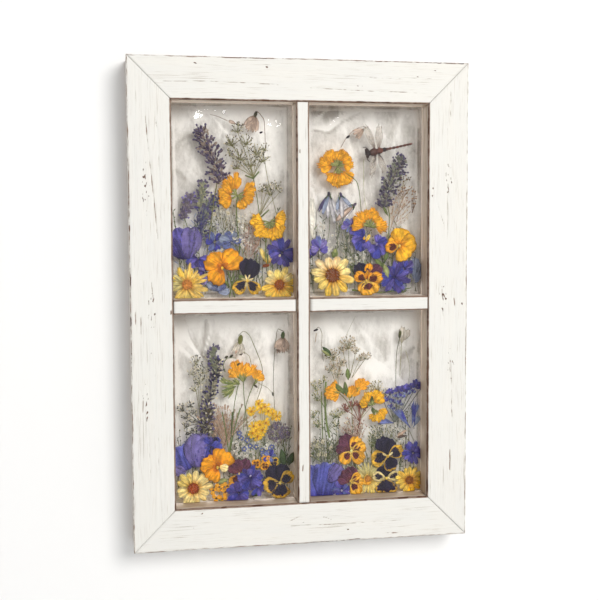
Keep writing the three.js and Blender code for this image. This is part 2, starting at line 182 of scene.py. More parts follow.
def face_outwards(mesh):
    """Turns the faces of a closed mesh outwards."""
    work = bmesh.new()
    work.from_mesh(mesh)
    bmesh.ops.recalc_face_normals(work, faces=work.faces)
    work.to_mesh(mesh)
    work.free()


def loft_sides(rings, sides):
    """The faces between rings of points that follow one another."""
    faces = []
    for ring in range(rings - 1):
        for k in range(sides):
            n = (k + 1) % sides
            faces.append((ring * sides + k, ring * sides + n, (ring + 1) * sides + n,
                          (ring + 1) * sides + k))
    return faces


def grid_parts(rows, columns):
    """The corners of a grid's cells, in turn round each cell, and its rim with the next point of each."""
    grid = np.arange(rows * columns).reshape(rows, columns)
    cells = [part.ravel() for part in (grid[:-1, :-1], grid[:-1, 1:], grid[1:, 1:], grid[1:, :-1])]
    rim = np.concatenate([grid[0, :-1], grid[:-1, -1], grid[-1, :0:-1], grid[:0:-1, 0]])
    return cells, rim, np.roll(rim, -1)


# ---- shader helpers ----

def new_material(name):
    """A material with its node tree and its surface shader."""
    material = bpy.data.materials.new(name)
    material.use_nodes = True
    tree = material.node_tree
    return material, tree, tree.nodes["Principled BSDF"]


def put(tree, kind, inputs=None, **settings):
    """A node with its settings, and its inputs by name or number: a value or another's output."""
    node = tree.nodes.new(kind)
    for key, value in settings.items():
        setattr(node, key, value)
    for key, value in (inputs or {}).items():
        if isinstance(value, bpy.types.NodeSocket):
            tree.links.new(value, node.inputs[key])
        else:
            node.inputs[key].default_value = value
    return node


def colour(shade):
    """A shader's colour, with its alpha, from linear light."""
    return (*(float(part) for part in shade[:3]), 1.0)


def mixed(tree, share, first, second, blend="MIX"):
    """One colour mixed into another; each is a socket or a colour."""
    node = put(tree, "ShaderNodeMix", data_type="RGBA", blend_type=blend)
    for socket, value in ((0, share), (6, first), (7, second)):
        if isinstance(value, bpy.types.NodeSocket):
            tree.links.new(value, node.inputs[socket])
        else:
            node.inputs[socket].default_value = value if socket == 0 else colour(value)
    return node.outputs[2]


def reckon(tree, operation, first, second):
    """One sum on two values."""
    return put(tree, "ShaderNodeMath", {0: first, 1: second}, operation=operation).outputs[0]


def plus(tree, first, second):
    return reckon(tree, "ADD", first, second)


def times(tree, first, second):
    return reckon(tree, "MULTIPLY", first, second)


def swing(tree, value, reach):
    """Noise of 0 to 1 made to swing about 0, over the given reach."""
    return times(tree, reckon(tree, "SUBTRACT", value, 0.5), reach)


def spread(tree, value, low, high, bottom=0.0, top=1.0):
    """value from low to high, mapped smoothly to bottom to top."""
    return put(tree, "ShaderNodeMapRange", {0: value, 1: low, 2: high, 3: bottom, 4: top},
               interpolation_type="SMOOTHSTEP").outputs[0]


def texture(tree, vector, scale, detail=3.0, coarse=0.55, warp=0.0):
    """Noise, mostly between 0.3 and 0.7."""
    return put(tree, "ShaderNodeTexNoise", {
        "Vector": vector, "Scale": scale, "Detail": detail, "Roughness": coarse, "Distortion": warp,
    }).outputs[0]


def attribute(tree, name):
    """One of the values that the mesh holds at its points."""
    return put(tree, "ShaderNodeAttribute", attribute_name=name, attribute_type="GEOMETRY")


def scaled(tree, vector, x, y, z):
    """A vector drawn in or out along each axis."""
    return put(tree, "ShaderNodeVectorMath", {0: vector, 1: (x, y, z)}, operation="MULTIPLY").outputs[0]


def bump(tree, surface, height, strength, distance):
    """Fine relief on a surface; distance is its depth in metres."""
    node = put(tree, "ShaderNodeBump", {"Height": height, "Strength": strength, "Distance": distance})
    tree.links.new(node.outputs[0], surface.inputs["Normal"])


# ---- painted wood ----

PAINT, PAINT_COOL, PAINT_DIRT = rgb(220, 217, 210), rgb(213, 213, 210), rgb(176, 166, 152)
BARE, BARE_DARK = rgb(112, 80, 62), rgb(66, 46, 38)
REVEAL, REVEAL_DARK = rgb(198, 181, 160), rgb(156, 136, 115)
OLD_WOOD, OLD_WOOD_DARK = rgb(168, 138, 104), rgb(120, 92, 66)
HAIRLINE, CRACK = rgb(150, 138, 124), rgb(122, 98, 82)


def grain_streaks(tree, grain, across, along, detail=4.0):
    """Noise drawn out along the grain: features per mm across it and along it."""
    return texture(tree, scaled(tree, grain, across, along, 1.0), 1.0, detail)


def wood_colours(tree, grain, wear, crack, reveal, raw):
    """Paint, the thin brown coat of the reveals and raw wood, worn through where wear is high."""
    broad = grain_streaks(tree, grain, 0.10, 0.012)
    fine = grain_streaks(tree, grain, 1.3, 0.035)
    hair = grain_streaks(tree, grain, 3.5, 0.05, 2.0)
    paint = mixed(tree, broad, PAINT, PAINT_COOL)
    dirt = times(tree, spread(tree, fine, 0.54, 0.7), spread(tree, hair, 0.42, 0.66))
    paint = mixed(tree, times(tree, dirt, 0.75), paint, PAINT_DIRT)
    lines = grain_streaks(tree, grain, 1.9, 0.014, 3.0)
    patches = grain_streaks(tree, grain, 0.07, 0.02)
    lines = times(tree, spread(tree, lines, 0.6, 0.68), spread(tree, patches, 0.47, 0.62))
    paint = mixed(tree, lines, paint, HAIRLINE)
    coat = mixed(tree, spread(tree, fine, 0.3, 0.7), REVEAL, REVEAL_DARK)
    bare = mixed(tree, spread(tree, fine, 0.35, 0.65), BARE, BARE_DARK)
    timber = mixed(tree, spread(tree, fine, 0.3, 0.72), OLD_WOOD, OLD_WOOD_DARK)
    timber = mixed(tree, spread(tree, broad, 0.35, 0.7, 0.0, 0.4), timber, PAINT_DIRT)
    found = mixed(tree, reveal, paint, coat)
    found = mixed(tree, raw, found, timber)
    found = mixed(tree, crack, found, CRACK)
    return mixed(tree, wear, found, bare), fine, hair


def wood_material():
    """Old paint, by the mesh's grain and its state: worn, reveal, raw, and the cracks as alpha."""
    material, tree, surface = new_material("old white paint on wood")
    grain = attribute(tree, "grain").outputs["Vector"]
    state_at = attribute(tree, "state")
    state = put(tree, "ShaderNodeSeparateXYZ", {0: state_at.outputs["Color"]})
    ragged = grain_streaks(tree, grain, 2.2, 0.35)
    torn = plus(tree, state.outputs[0], swing(tree, ragged, 0.9))
    wear = spread(tree, torn, 0.44, 0.58)
    thread = grain_streaks(tree, grain, 1.6, 0.12)
    split = plus(tree, state_at.outputs["Alpha"], swing(tree, thread, 0.9))
    crack = spread(tree, split, 0.34, 0.64, 0.0, 0.93)
    found, fine, hair = wood_colours(tree, grain, wear, crack, state.outputs[1], state.outputs[2])
    tree.links.new(found, surface.inputs["Base Color"])
    dull = spread(tree, fine, 0.3, 0.7, 0.62, 0.78)
    tree.links.new(plus(tree, dull, times(tree, wear, 0.15)), surface.inputs["Roughness"])
    surface.inputs["Specular IOR Level"].default_value = 0.3
    relief = plus(tree, times(tree, fine, 0.5), times(tree, hair, 0.35))
    relief = reckon(tree, "SUBTRACT", relief, times(tree, wear, 0.8))
    bump(tree, surface, relief, 0.35, 0.0004)
    return material


# Marks in the paint: points (x, z) from the sash's centre, half width, depth.
CRACKS = [
    ([(-145.6, 174.6), (-142.6, 139.6), (-137.9, 89.7), (-135.6, 62.3)], 0.55, 0.75),
    ([(-137.5, 180.2), (-135, 163.1), (-133, 112.5)], 0.45, 0.6),
    ([(-144.9, 104.3), (-143.4, 87)], 0.4, 0.5),
    ([(-145.5, 2.8), (-146, -85.4)], 0.3, 0.42),
    ([(-139.4, -11.2), (-139.8, -104.3)], 0.3, 0.4),
    ([(-134.9, -20.5), (-135.5, -123.3)], 0.25, 0.4),
    ([(-147.2, -108.7), (-145.3, -160.6)], 0.35, 0.45),
    ([(-138.1, -113.8), (-137.3, -184.7)], 0.3, 0.42),
    ([(-133.4, -104.6), (-133.5, -180.1)], 0.3, 0.4),
    ([(-142.2, 24), (-140.8, 8)], 0.7, 0.75),
    ([(-124.6, -2), (-124.7, -7)], 0.8, 1.0),
    ([(-152.1, -8.2), (-152.3, -23.8)], 0.6, 0.7),
    ([(-157.4, -3.4), (-156.8, -20)], 0.6, 0.7),
    ([(-151.4, -85.2), (-151.6, -96.4)], 0.6, 0.7),
    ([(-130.8, 206.3), (-90, 207.3), (-22.4, 205.4)], 0.4, 0.66),
    ([(7.8, 203.2), (60, 201.4), (110.5, 200.6)], 0.4, 0.68),
    ([(39.3, 214.1), (85, 213.6), (126.3, 214.4)], 0.35, 0.55),
    ([(144.3, 203.9), (144.4, 178.3)], 0.4, 0.6),
    ([(141.9, 108.7), (142.1, 64.4)], 0.45, 0.62),
    ([(136.4, 14.2), (137.6, -14)], 0.55, 0.72),
    ([(148.6, 5.3), (149.7, -3.5)], 0.8, 0.8),
    ([(145.9, -53.4), (147.3, -112.6)], 0.5, 0.66),
    ([(145.5, -145.3), (145.6, -165.2)], 0.7, 0.85),
    ([(131.9, 94.3), (138, 76)], 0.35, 0.55),
    ([(140.4, 175.4), (141.5, 161.2)], 0.35, 0.55),
    ([(-16.2, -207.9), (-1.6, -201.9)], 0.6, 0.6),
    ([(-14.3, -211.9), (40, -213), (96.9, -212.5)], 0.35, 0.62),
    ([(80.7, -224.5), (94.9, -225.3)], 0.6, 0.8),
    ([(18, -205), (26.9, -208)], 0.7, 0.72),
    ([(-1.2, -154.2), (-1.6, -159.6)], 0.7, 1.0),
    ([(-2.9, 145.7), (-2.8, 142.7)], 0.6, 0.8),
    ([(126, -134.5), (133, -128), (140.2, -122.2)], 1.2, 0.34),
]
# Spots without paint: x, z from the sash's centre, size.
SPECKS = [
    (-99.8, 223.2, 0.9), (-52.1, 221.7, 0.8), (-33.5, 221.2, 1.4), (-24.2, 216.9, 1.2),
    (-55, 210.7, 1.0), (16.4, 211.4, 1.0), (52.8, 205.7, 1.0), (56.2, 205.8, 1.2),
    (129.2, 221.4, 1.5), (137.2, 216, 1.1), (140.2, 216.4, 1.0), (111.4, 215.4, 0.9),
    (126.8, 110, 1.2), (126.6, 103, 1.1), (126.9, 98, 1.0), (132, 94, 1.0), (145.6, 116, 1.0),
    (146.4, 134, 1.1), (156.8, -1.7, 2.2), (148.5, 42, 1.0), (-98.3, -195, 1.0),
    (-105.9, -208.9, 1.2), (-0.6, -209.8, 1.1), (42.7, -218.7, 1.0), (1.4, 47.4, 0.7),
    (-148.8, -38, 0.8), (-143.6, -42, 0.7), (146, 22, 0.9), (158, 60, 0.8), (-150, -60, 0.8),
]
# Patches of fine flecks: middle x and z, half width and half height.
FLECKED = [(-142, -2, 7, 30), (-148, -90, 7, 34), (138, 4, 7, 22), (142, 120, 6, 26), (146, -60, 6, 30),
           (-146, 110, 6, 40)]
# Worn stretches of each member's two front corners: outer or inner, from, to (mm along), how much.
WORN = {
    "stile_left": [("outer", -60, 130, 0.75), ("outer", -200, -60, 0.3), ("inner", -200, 190, 0.75)],
    "stile_right": [("inner", -190, 190, 0.95), ("outer", -228, 228, 0.35)],
    "rail_top": [("outer", -75, -10, 0.85), ("outer", 60, 160, 0.95), ("outer", -160, -75, 0.45),
                 ("inner", -122, 122, 0.95)],
    "rail_bottom": [("outer", 5, 55, 0.9), ("outer", -150, 0, 0.35), ("inner", -122, 122, 0.8)],
    "bar_upright": [("outer", -190, 190, 0.8), ("inner", -190, 190, 0.55)],
    "bar_cross": [("outer", -122, 122, 0.75), ("inner", -122, 122, 0.7)],
}


def cracks_at(x, z):
    """How deep the cracks are at points of the sash's front."""
    found = np.zeros(np.shape(x))
    for line, wide, deep in CRACKS:
        away, place = from_line(x, z, line)
        thin = 0.35 + 0.65 * np.sin(np.pi * np.clip(place, 0.04, 0.96)) ** 0.5
        broken = 0.45 + 0.75 * noise(x * 0.4, z * 0.16 + deep * 40, 5)
        found = np.maximum(found, deep * broken * ramp(-away, -1.1 * wide * thin - 0.45, -0.1))
    return found


def flecks_at(x, z):
    """Fine flecks of bare wood in the rubbed patches of the stiles."""
    found = np.zeros(np.shape(x))
    for at_x, at_z, wide, tall in FLECKED:
        inside = ramp(-np.hypot((x - at_x) / wide, (z - at_z) / tall), -1.0, -0.3)
        speckle_noise = noise(x * 1.1, z * 0.45, 15) + 0.5 * noise(x * 2.4, z * 1.1, 16)
        found = np.maximum(found, 0.85 * inside * ramp(speckle_noise, 0.86, 1.15))
    return found


def specks_at(x, z):
    """Small round spots where the paint is gone."""
    found = np.zeros(np.shape(x))
    for at_x, at_z, size in SPECKS:
        away = np.hypot((x - at_x), (z - at_z) * 0.9) + (noise(x * 1.7, z * 1.7, 9) - 0.5) * size * 0.7
        found = np.maximum(found, 0.9 * ramp(-away, -size * 0.8, -size * 0.25))
    return found


def refined(section, steps):
    """The closed section's points, each side cut into the given number of steps."""
    points = []
    for (a, b), count in zip(zip(section, section[1:] + section[:1]), steps):
        for i in range(count):
            points.append(np.array(a) + (np.array(b) - np.array(a)) * i / count)
    return np.array(points)


def chips(name, corner, along, seed):
    """How far paint and wood are chipped off a front corner, along the member."""
    amount = np.full(np.shape(along), 0.12)
    for edge, start, stop, strength in WORN[name]:
        if edge == corner:
            inside = ramp(along, start - 6, start + 4) * ramp(-along, -stop - 6, -stop + 4)
            amount = np.maximum(amount, strength * inside)
    line = 0.38 + 0.3 * noise(along * 0.45, 0.5, seed + 40)
    chipped = ramp(rough(along * 0.11, 0.5, seed), 0.72 - 0.3 * amount, 0.95 - 0.3 * amount)
    return amount * np.maximum(line, chipped)


def marks(x, z, on_face):
    """Depths of the cracks and of the bare spots on a member's front face."""
    z = z - CENTRE_Z
    cracks = np.where(on_face, cracks_at(x, z), 0)
    return cracks, np.where(on_face, np.maximum(specks_at(x, z), flecks_at(x, z)), 0)


def sweep(name, section, front, half_length, rings, place, clamp):
    """A member swept along its length, with grain, cracks and worn corners cut into it.

    section is its closed outline of (across, y), front its (low, high) across on the front face,
    half_length(across) gives the ends, place turns (across, along) into x and z, and clamp, where
    there is one, changes the depth along it.
    """
    low, high = front
    across, depth = (np.tile(section[:, side], (rings, 1)) for side in (0, 1))
    along = np.linspace(-1, 1, rings)[:, None] * half_length(across)
    face_y = section[:, 1].min()
    on_face = (depth < face_y + FACE_DEEP) & (across > low - 0.1) & (across < high + 0.1)
    cracks, specks = marks(*place(across, along), on_face)
    key = sum(map(ord, name))
    relief = 0.5 * (rough(across * 0.9, along * 0.016, key) - 0.5)
    relief = relief + 0.2 * (noise(across * 2.3, along * 0.05, key + 7) - 0.5)
    outer, inner = chips(name, "outer", along, key + 1), chips(name, "inner", along, key + 2)
    near_low, near_high = (np.hypot(across - side, depth - face_y) for side in front)
    bite = 1.4 * outer * ramp(-near_low, -2.6, 0) + 1.4 * inner * ramp(-near_high, -2.6, 0)
    wander = 0.7 * (rough(along * 0.035, 0.3, key + 3) - 0.5) * ramp(-near_low, -9, 0)
    wander_high = 0.5 * (rough(along * 0.035, 0.7, key + 4) - 0.5) * ramp(-near_high, -9, 0)
    sunk = depth + np.where(on_face, 0.25 + relief * 0.55 + 0.7 * cracks + 0.3 * specks, 0) + bite * 0.8
    moved = across + bite * 0.45 * np.where(across < (low + high) / 2, 1, -1) + wander - wander_high
    if clamp is not None:
        sunk = clamp(sunk, along)
    worn = np.maximum(specks, 1.15 * outer * ramp(-near_low, -1.9, -0.3))
    worn = np.maximum(worn, 1.15 * inner * ramp(-near_high, -1.9, -0.3))
    outer_rub = 0.6 if low == 0 else 1.0    # the sash's outer corners are rubbed less than all others
    rubbed = np.maximum(outer_rub * ramp(-near_low, -2.3, -0.9), ramp(-near_high, -2.3, -0.9))
    cracks = np.maximum(cracks, rubbed * (0.6 + 0.5 * rough(along * 0.05, across * 0.1, key + 9)))
    x, z = place(moved, along)
    grain = np.stack([across + depth * 0.7 + key, along, np.full(along.shape, key % 17)], -1)
    return np.stack([x, sunk, z], -1), grain, worn, cracks, across, depth


def dress_member(name, section, front, half_length, rings, place, reveal, raw, clamp=None):
    """The piece of one stile, rail or bar; reveal and raw say where its other coats are."""
    points, grain, worn, cracks, across, depth = sweep(name, section, front, half_length, rings, place,
                                                       clamp)
    state = np.stack([worn, reveal(across, depth), raw(across, depth), cracks], -1)
    count = len(section)
    ends = [tuple(range(count)), tuple(range((rings - 1) * count, rings * count))]
    piece = new_piece(name + "_wood", points.reshape(-1, 3), loft_sides(rings, count) + ends, {
        "grain": grain.reshape(-1, 3), "state": state.reshape(-1, 4),
    }, [WOOD], [name])
    face_outwards(piece.data)
    return piece


def member(name, horizontal, flip):
    """A stile or rail, with its rabbet behind the lip, and mitred ends."""
    (x0, y0, z0), (x1, y1, z1) = box(name)
    wide, long = (z1 - z0, x1 - x0) if horizontal else (x1 - x0, z1 - z0)
    lip, rabbet = y0 + LIP, wide - RABBET
    section = [(0, y1), (0, y0 + ARRIS), (ARRIS, y0), (wide - ARRIS, y0), (wide, y0 + ARRIS),
               (wide, lip), (rabbet, lip), (rabbet, y1)]
    steps = [3, 2, 56, 2, 5, 2, 2, 3]       # of each side of the section: fine on its front face

    def place(across, along):
        edge = (z1 - across if flip else z0 + across) if horizontal else (
            x1 - across if flip else x0 + across)
        return (along, edge) if horizontal else (edge, CENTRE_Z + along)

    def reveal(across, depth):
        return ramp(across, wide - 0.9, wide - 0.3) * ramp(depth, y0 + 0.5, y0 + 1.6)

    def raw(across, depth):
        rear = ramp(depth, y1 - 3.5 + 2 * noise(across * 0.3, depth * 0.3), y1 - 0.5)
        return np.maximum(rear, ramp(depth, lip - 0.5, lip - 0.1) * (across > rabbet - 0.1))

    return dress_member(name, refined(section, steps), (0, wide), lambda a: long / 2 - a - MITRE_GAP,
                        int(long / MEMBER_STEP), place, reveal, raw)


def bar(name, horizontal):
    """A glazing bar: a lip in front, and a thin web behind it between the resin castings."""
    (x0, _, z0), (x1, y1, z1) = box(name)
    half = (z1 - z0) / 2 if horizontal else (x1 - x0) / 2
    other = box("bar_upright" if horizontal else "bar_cross")
    crossed = (other[1][0] - other[0][0]) / 2 if horizontal else (other[1][2] - other[0][2]) / 2
    long = OPEN_WIDE if horizontal else OPEN_TALL
    front = -SASH_DEPTH
    lip, web = front + LIP, WEB / 2
    section = [(-half, lip), (-half, front + ARRIS), (-half + ARRIS, front), (half - ARRIS, front),
               (half, front + ARRIS), (half, lip), (web, lip), (web, y1), (-web, y1), (-web, lip)]
    steps = [4, 2, 20, 2, 4, 1, 2, 2, 2, 1]

    def place(across, along):
        return (along, CENTRE_Z + across) if horizontal else (across, CENTRE_Z + along)

    def lap(depth, along):
        inside = np.abs(along) < crossed + LAP_GAP
        if horizontal:
            return np.where(inside, np.maximum(depth, front + LIP / 2 + LAP_GAP), depth)
        return np.where(inside, np.minimum(depth, front + LIP / 2), depth)

    def reveal(across, depth):
        return ramp(np.abs(across), half - 0.9, half - 0.3) * ramp(depth, front + 0.5, front + 1.6)

    def raw(across, depth):
        return ramp(depth, lip - 1, lip)

    return dress_member(name, refined(section, steps), (-half, half), lambda a: long / 2 - BAR_GAP + 0 * a,
                        int(long / BAR_STEP), place, reveal, raw, lap)


def keyhole_tool():
    """What the keyhole takes out: a narrow slot, wider inside, above a round entry."""
    work = bmesh.new()
    turns = [math.pi * i / 18 for i in range(19)]
    for wide, start, end in ((KEYHOLE["slot"], -KEYHOLE["past"], KEYHOLE["mouth"] + 0.3),
                             (KEYHOLE["entry"], KEYHOLE["mouth"], KEYHOLE["inside"])):
        rim = [(wide / 2 * math.cos(turn), wide / 2 * math.sin(turn)) for turn in turns]
        rim += [(-x, -KEYHOLE["drop"]) for x, _ in (rim[0], rim[-1])]
        base = work.faces.new([work.verts.new((x * MM, -start * MM, z * MM)) for x, z in rim])
        moved = bmesh.ops.extrude_face_region(work, geom=[base])["geom"]
        bmesh.ops.translate(work, vec=(0, -(end - start) * MM, 0),
                            verts=[part for part in moved if isinstance(part, bmesh.types.BMVert)])
    radius, deep = KEYHOLE["entry"] / 2, KEYHOLE["inside"] + KEYHOLE["past"]
    round_entry = bmesh.ops.create_cone(work, cap_ends=True, segments=40, radius1=radius * MM,
                                        radius2=radius * MM, depth=deep * MM)["verts"]
    for vert in round_entry:
        x, y, z = vert.co
        vert.co = (x, (KEYHOLE["past"] - deep / 2) * MM + z, -KEYHOLE["drop"] * MM + y)
    bmesh.ops.recalc_face_normals(work, faces=work.faces)
    mesh = bpy.data.meshes.new("keyhole")
    work.to_mesh(mesh)
    work.free()
    return mesh


def keyhole_cut(rail):
    """Cuts the keyhole into the back of the top rail, at the frame's origin."""
    tool = bpy.data.objects.new("keyhole", keyhole_tool())
    bpy.context.scene.collection.objects.link(tool)
    step = rail.modifiers.new("keyhole", "BOOLEAN")
    step.operation, step.solver, step.object, step.use_self = "DIFFERENCE", "EXACT", tool, True
    bpy.context.view_layer.update()
    done = bpy.data.meshes.new_from_object(rail.evaluated_get(bpy.context.evaluated_depsgraph_get()))
    rail.modifiers.clear()
    rail.data = done
    bpy.data.objects.remove(tool)


# ---- resin ----

RESIN_IOR = 1.49
# Tints of the resin: its front, and its back from clear to a grey that is painted shade of the back's folds.
FRONT_CLEAR, BACK_CLEAR, BACK_PAINTED_SHADE = rgb(253, 252, 250), rgb(249, 246, 240), rgb(138, 130, 119)


def crease(x, z, line, wide, side):
    """A fold along a line: steep on one side of it and soft on the other, 0 to 1."""
    away, place = from_line(x, z, line)
    (x0, z0), (x1, z1) = line[0], line[-1]
    hand = np.sign((x - x0) * (z1 - z0) - (z - z0) * (x1 - x0)) * side
    reach = wide * np.where(hand > 0, 1.0, 0.35) * (0.35 + 0.65 * np.sin(np.pi * np.clip(place, 0.05, 0.95)))
    return np.exp(-(away / reach) ** 1.4)


def resin_material():
    """Clear resin, its back tinted by the mesh's point values: painted shade and highlight of its folds, and
    which side.
    """
    material, tree, surface = new_material("clear resin")
    veil = put(tree, "ShaderNodeSeparateXYZ", {0: attribute(tree, "veil").outputs["Vector"]})
    place = put(tree, "ShaderNodeTexCoord").outputs["Object"]
    # Noise mottles the painted shade of the back's folds; the finer crinkle is also a real bump.
    shade_mottle = texture(tree, scaled(tree, place, 60, 60, 26), 1.0, 5.0, 0.6, 1.6)
    crinkle = texture(tree, scaled(tree, place, 260, 260, 120), 1.0, 3.0, 0.6, 0.8)
    painted_grey = plus(tree, veil.outputs[0], swing(tree, shade_mottle, 0.9))
    painted_grey = plus(tree, painted_grey, swing(tree, crinkle, 0.8))
    tone = mixed(tree, spread(tree, painted_grey, -0.15, 1.1), BACK_CLEAR, BACK_PAINTED_SHADE)
    tone = mixed(tree, veil.outputs[1], FRONT_CLEAR, tone)
    tree.links.new(tone, surface.inputs["Base Color"])
    surface.inputs["Transmission Weight"].default_value = 1.0
    surface.inputs["IOR"].default_value = RESIN_IOR
    surface.inputs["Roughness"].default_value = 0.03
    bump(tree, surface, crinkle, 0.25, 0.0003)
    return material


# Folds: line in mm from the opening's middle, width, side, strength of their painted shade (below 0 a
# painted highlight), height.
FOLDS = {
    "top_left": [
        ([(-52, 25), (-52.5, -24)], 1.2, 1, -0.9, 0.3), ([(-34, 83), (-26, 79.5)], 3.2, 1, -1.2, 0.5),
        ([(-33, 88), (-12, 82.5), (3, 74.5)], 1.3, 1, -1.0, 0.45),
        ([(31, 74), (38, 72), (47, 71)], 2.6, 1, -1.2, 0.5),
        ([(34, 77), (42, 68)], 1.6, -1, -1.0, 0.5), ([(-56, 50), (-40, 62), (-28, 60)], 9, 1, 0.5, 0.6),
        ([(-20, 84), (-6, 66), (4, 58)], 1.0, 1, -0.5, 0.3), ([(-54, 30), (-44, 22)], 4, 1, 0.4, 0.4),
    ],
    "top_right": [
        ([(-48, 86), (-36, 84), (-22, 88)], 8, 1, 1.1, 0.7), ([(-48, 77), (-36, 88)], 1.2, 1, -1.1, 0.4),
        ([(-50, 71), (-34, 70), (-24, 80), (-6, 88)], 1.6, 1, -1.0, 0.5),
        ([(-48, 68), (-33, 66), (-20, 76), (-4, 84)], 4, -1, 0.6, 0.5),
        ([(53, 88), (57, 72)], 1.5, 1, -1.2, 0.4), ([(57, 7), (57, -56)], 1.1, 1, -1.2, 0.4),
        ([(51, -84), (53, -92)], 1.6, 1, -1.3, 0.4), ([(8, 75), (22, 64)], 8, 1, -0.7, 0.3),
        ([(-50, 12), (-44, -10), (-40, -34)], 4, 1, -0.9, 0.6), ([(-52, 18), (-49, -30)], 3, -1, 0.35, 0.5),
    ],
    "bottom_left": [
        ([(-50.5, 84), (-47.5, 76), (-42, 63), (-31, 47)], 1.1, 1, -1.1, 0.5),
        ([(-54, 62), (-38, 46)], 1.3, 1, -0.9, 0.4), ([(-46, 84), (-40, 66), (-29, 48)], 4, -1, 0.55, 0.6),
        ([(-22, 86), (-22, 70), (-30, 46)], 1.4, 1, -1.0, 0.5),
        ([(-26, 86), (-27, 68), (-31, 48)], 5, -1, 0.75, 0.6),
        ([(-38, 84), (-32, 86), (-30, 81)], 1.4, 1, -1.0, 0.5),
        ([(50, 52), (49, 20), (47, -10)], 3, 1, -0.7, 0.5),
        ([(54, 58), (55, 10)], 2.5, -1, 0.5, 0.5), ([(-53, -14), (-46, -33)], 1.6, 1, -1.2, 0.5),
        ([(40, 84), (52, 80), (57, 60)], 2, 1, -0.8, 0.4), ([(44, 50), (56, 49)], 1.2, 1, -0.8, 0.4),
    ],
    "bottom_right": [
        ([(45, 83), (56, 74)], 1.2, 1, -1.2, 0.5), ([(56, 74), (56, 50)], 1.3, 1, -1.2, 0.4),
        ([(54, 48), (56.5, 40)], 3.2, 1, -1.3, 0.5),
        ([(-38, 83), (-10, 60), (4, 40), (36, 24)], 6, 1, -0.6, 0.5),
        ([(30, 60), (32, 20)], 1.2, 1, -0.7, 0.4), ([(41, 44), (52, 52)], 7, 1, 0.7, 0.6),
        ([(36, 62), (41, 20)], 3, -1, 0.4, 0.5), ([(-2, 74), (16, 60), (24, 40)], 5, -1, 0.35, 0.5),
        ([(-39, -97), (-34, -94)], 1.6, 1, -1.2, 0.4), ([(-10, 84), (-6, 70), (2, 60)], 4, 1, 0.35, 0.4),
    ],
}
# Where the front leans back far enough to mirror a lamp: middle, width and height in mm.
GLINTS = {
    "top_left": [(-31, 80, 12, 9), (38, 73, 15, 10), (-8, 84, 7, 3)],
    "top_right": [(-38, 80, 12, 5), (-10, 82, 8, 4)],
    "bottom_left": [(-36, 83, 7, 5)],
    "bottom_right": [(47, 82, 7, 4)],
}
# How much more painted shade than the others a light's resin has, over all of it.
PAINTED_SHADE_SHIFT = {"top_left": 0.06, "top_right": 0.13, "bottom_left": -0.02, "bottom_right": -0.12}


def veil_at(x, z, seed, folds):
    """Painted shade of the wrinkled back's folds, 0 clear to 1, below 0 a painted highlight, and its relief
    in mm.
    """
    warp = 14 * (rough(x * 0.02, z * 0.02, seed) - 0.5)
    bands = 1 - np.abs(2 * rough((x + warp) * 0.045, (z - 2 * warp) * 0.02, seed + 3) - 1)
    ridges = bands ** 6
    veil = 0.33 + 0.5 * (rough(x * 0.03, z * 0.022, seed + 5) - 0.5) - 0.5 * (ridges - 0.3)
    relief = 0.55 * ridges + 0.3 * (rough(x * 0.06, z * 0.04, seed + 8) - 0.5)
    # Fine noise speckles the painted shade.
    speckle_noise = rough(x * 0.5, z * 0.5, seed + 30) - 0.5
    veil = veil + 0.22 * speckle_noise
    for line, wide, side, strength, height in folds:
        fold = crease(x, z, line, wide * (1.35 if strength < 0 else 1.1), side)
        veil = veil + (1.05 if strength < 0 else 0.9) * strength * fold
        relief = relief + height * fold
    return veil, relief


def facets(x, z, glints, seed):
    """Depth in mm of the small leaning facets in a casting's front."""
    depth = 0 * x
    for at_x, at_z, wide, tall in glints:
        across = ramp(-np.abs(x - at_x - 2 * (noise(z * 0.4, at_x, seed) - 0.5)), -wide / 2, -wide / 2 + 2)
        rise = np.clip((z - at_z) / tall + 0.5, 0, 1)
        fall = ramp(-(z - at_z), -tall / 2 - 9, -tall / 2)
        crumple = 0.1 * (noise(x * 0.35, z * 0.35, seed + 1) - 0.5)
        depth = np.maximum(depth, across * fall * (0.095 * tall * rise + crumple * ramp(rise, 0, 0.3)))
    return depth


def slab(x, z, front, back, painted_shadings):
    """A closed block whose front and back are grids of the same outline, with its back's painted shade and
    which side.
    """
    size = x.size
    points = np.concatenate([np.stack([x, y, z], -1).reshape(-1, 3) for y in (front, back)])
    cells, rim, after = grid_parts(*x.shape)
    faces = np.concatenate([np.stack(cells, 1), np.stack(cells[::-1], 1) + size,
                            np.stack([after, rim, rim + size, after + size], 1)]).tolist()
    rear = np.repeat([0.0, 1.0], size)
    return points, faces, np.stack([np.concatenate([np.zeros(size), painted_shadings.ravel()]), rear, rear], -1)


# Just inside the lip, in mm from a casting's edge: a painted shade line, a painted highlight line, and the
# beading.
SHADE_LINE, HIGHLIGHT_LINE, BEADING = 7.0, 8.8, 9.2
# A casting's grid: close lines where its rim shows, and an even pitch from there on.
RIM_LINES, EVEN_FROM = np.array([0, 0.8, 3.5, 6.2, 7.0, 7.7, 8.4, 9.1, 9.8, 10.8]), 12.2
CAST_COLUMNS, CAST_ROWS = 58, 98


def edge_lines(edge, x, z, seed):
    """The painted highlight along the resin's rim and the painted shade line beside it."""
    strength = 0.4 + 0.6 * rough(x * 0.05, z * 0.05, seed + 50)
    rim_highlight = np.exp(-((edge - HIGHLIGHT_LINE - 0.8 * noise(x * 0.03, z * 0.03, seed + 51)) / 0.7) ** 2)
    dark = np.exp(-((edge - SHADE_LINE) / 0.8) ** 2)
    return (0.7 * dark - 1.1 * rim_highlight) * strength


def grid_lines(start, stop, count):
    """Places of a casting's grid lines from one edge to the other."""
    even = np.linspace(start + EVEN_FROM, stop - EVEN_FROM, count)
    return np.concatenate([start + RIM_LINES, even, stop - RIM_LINES[::-1]])


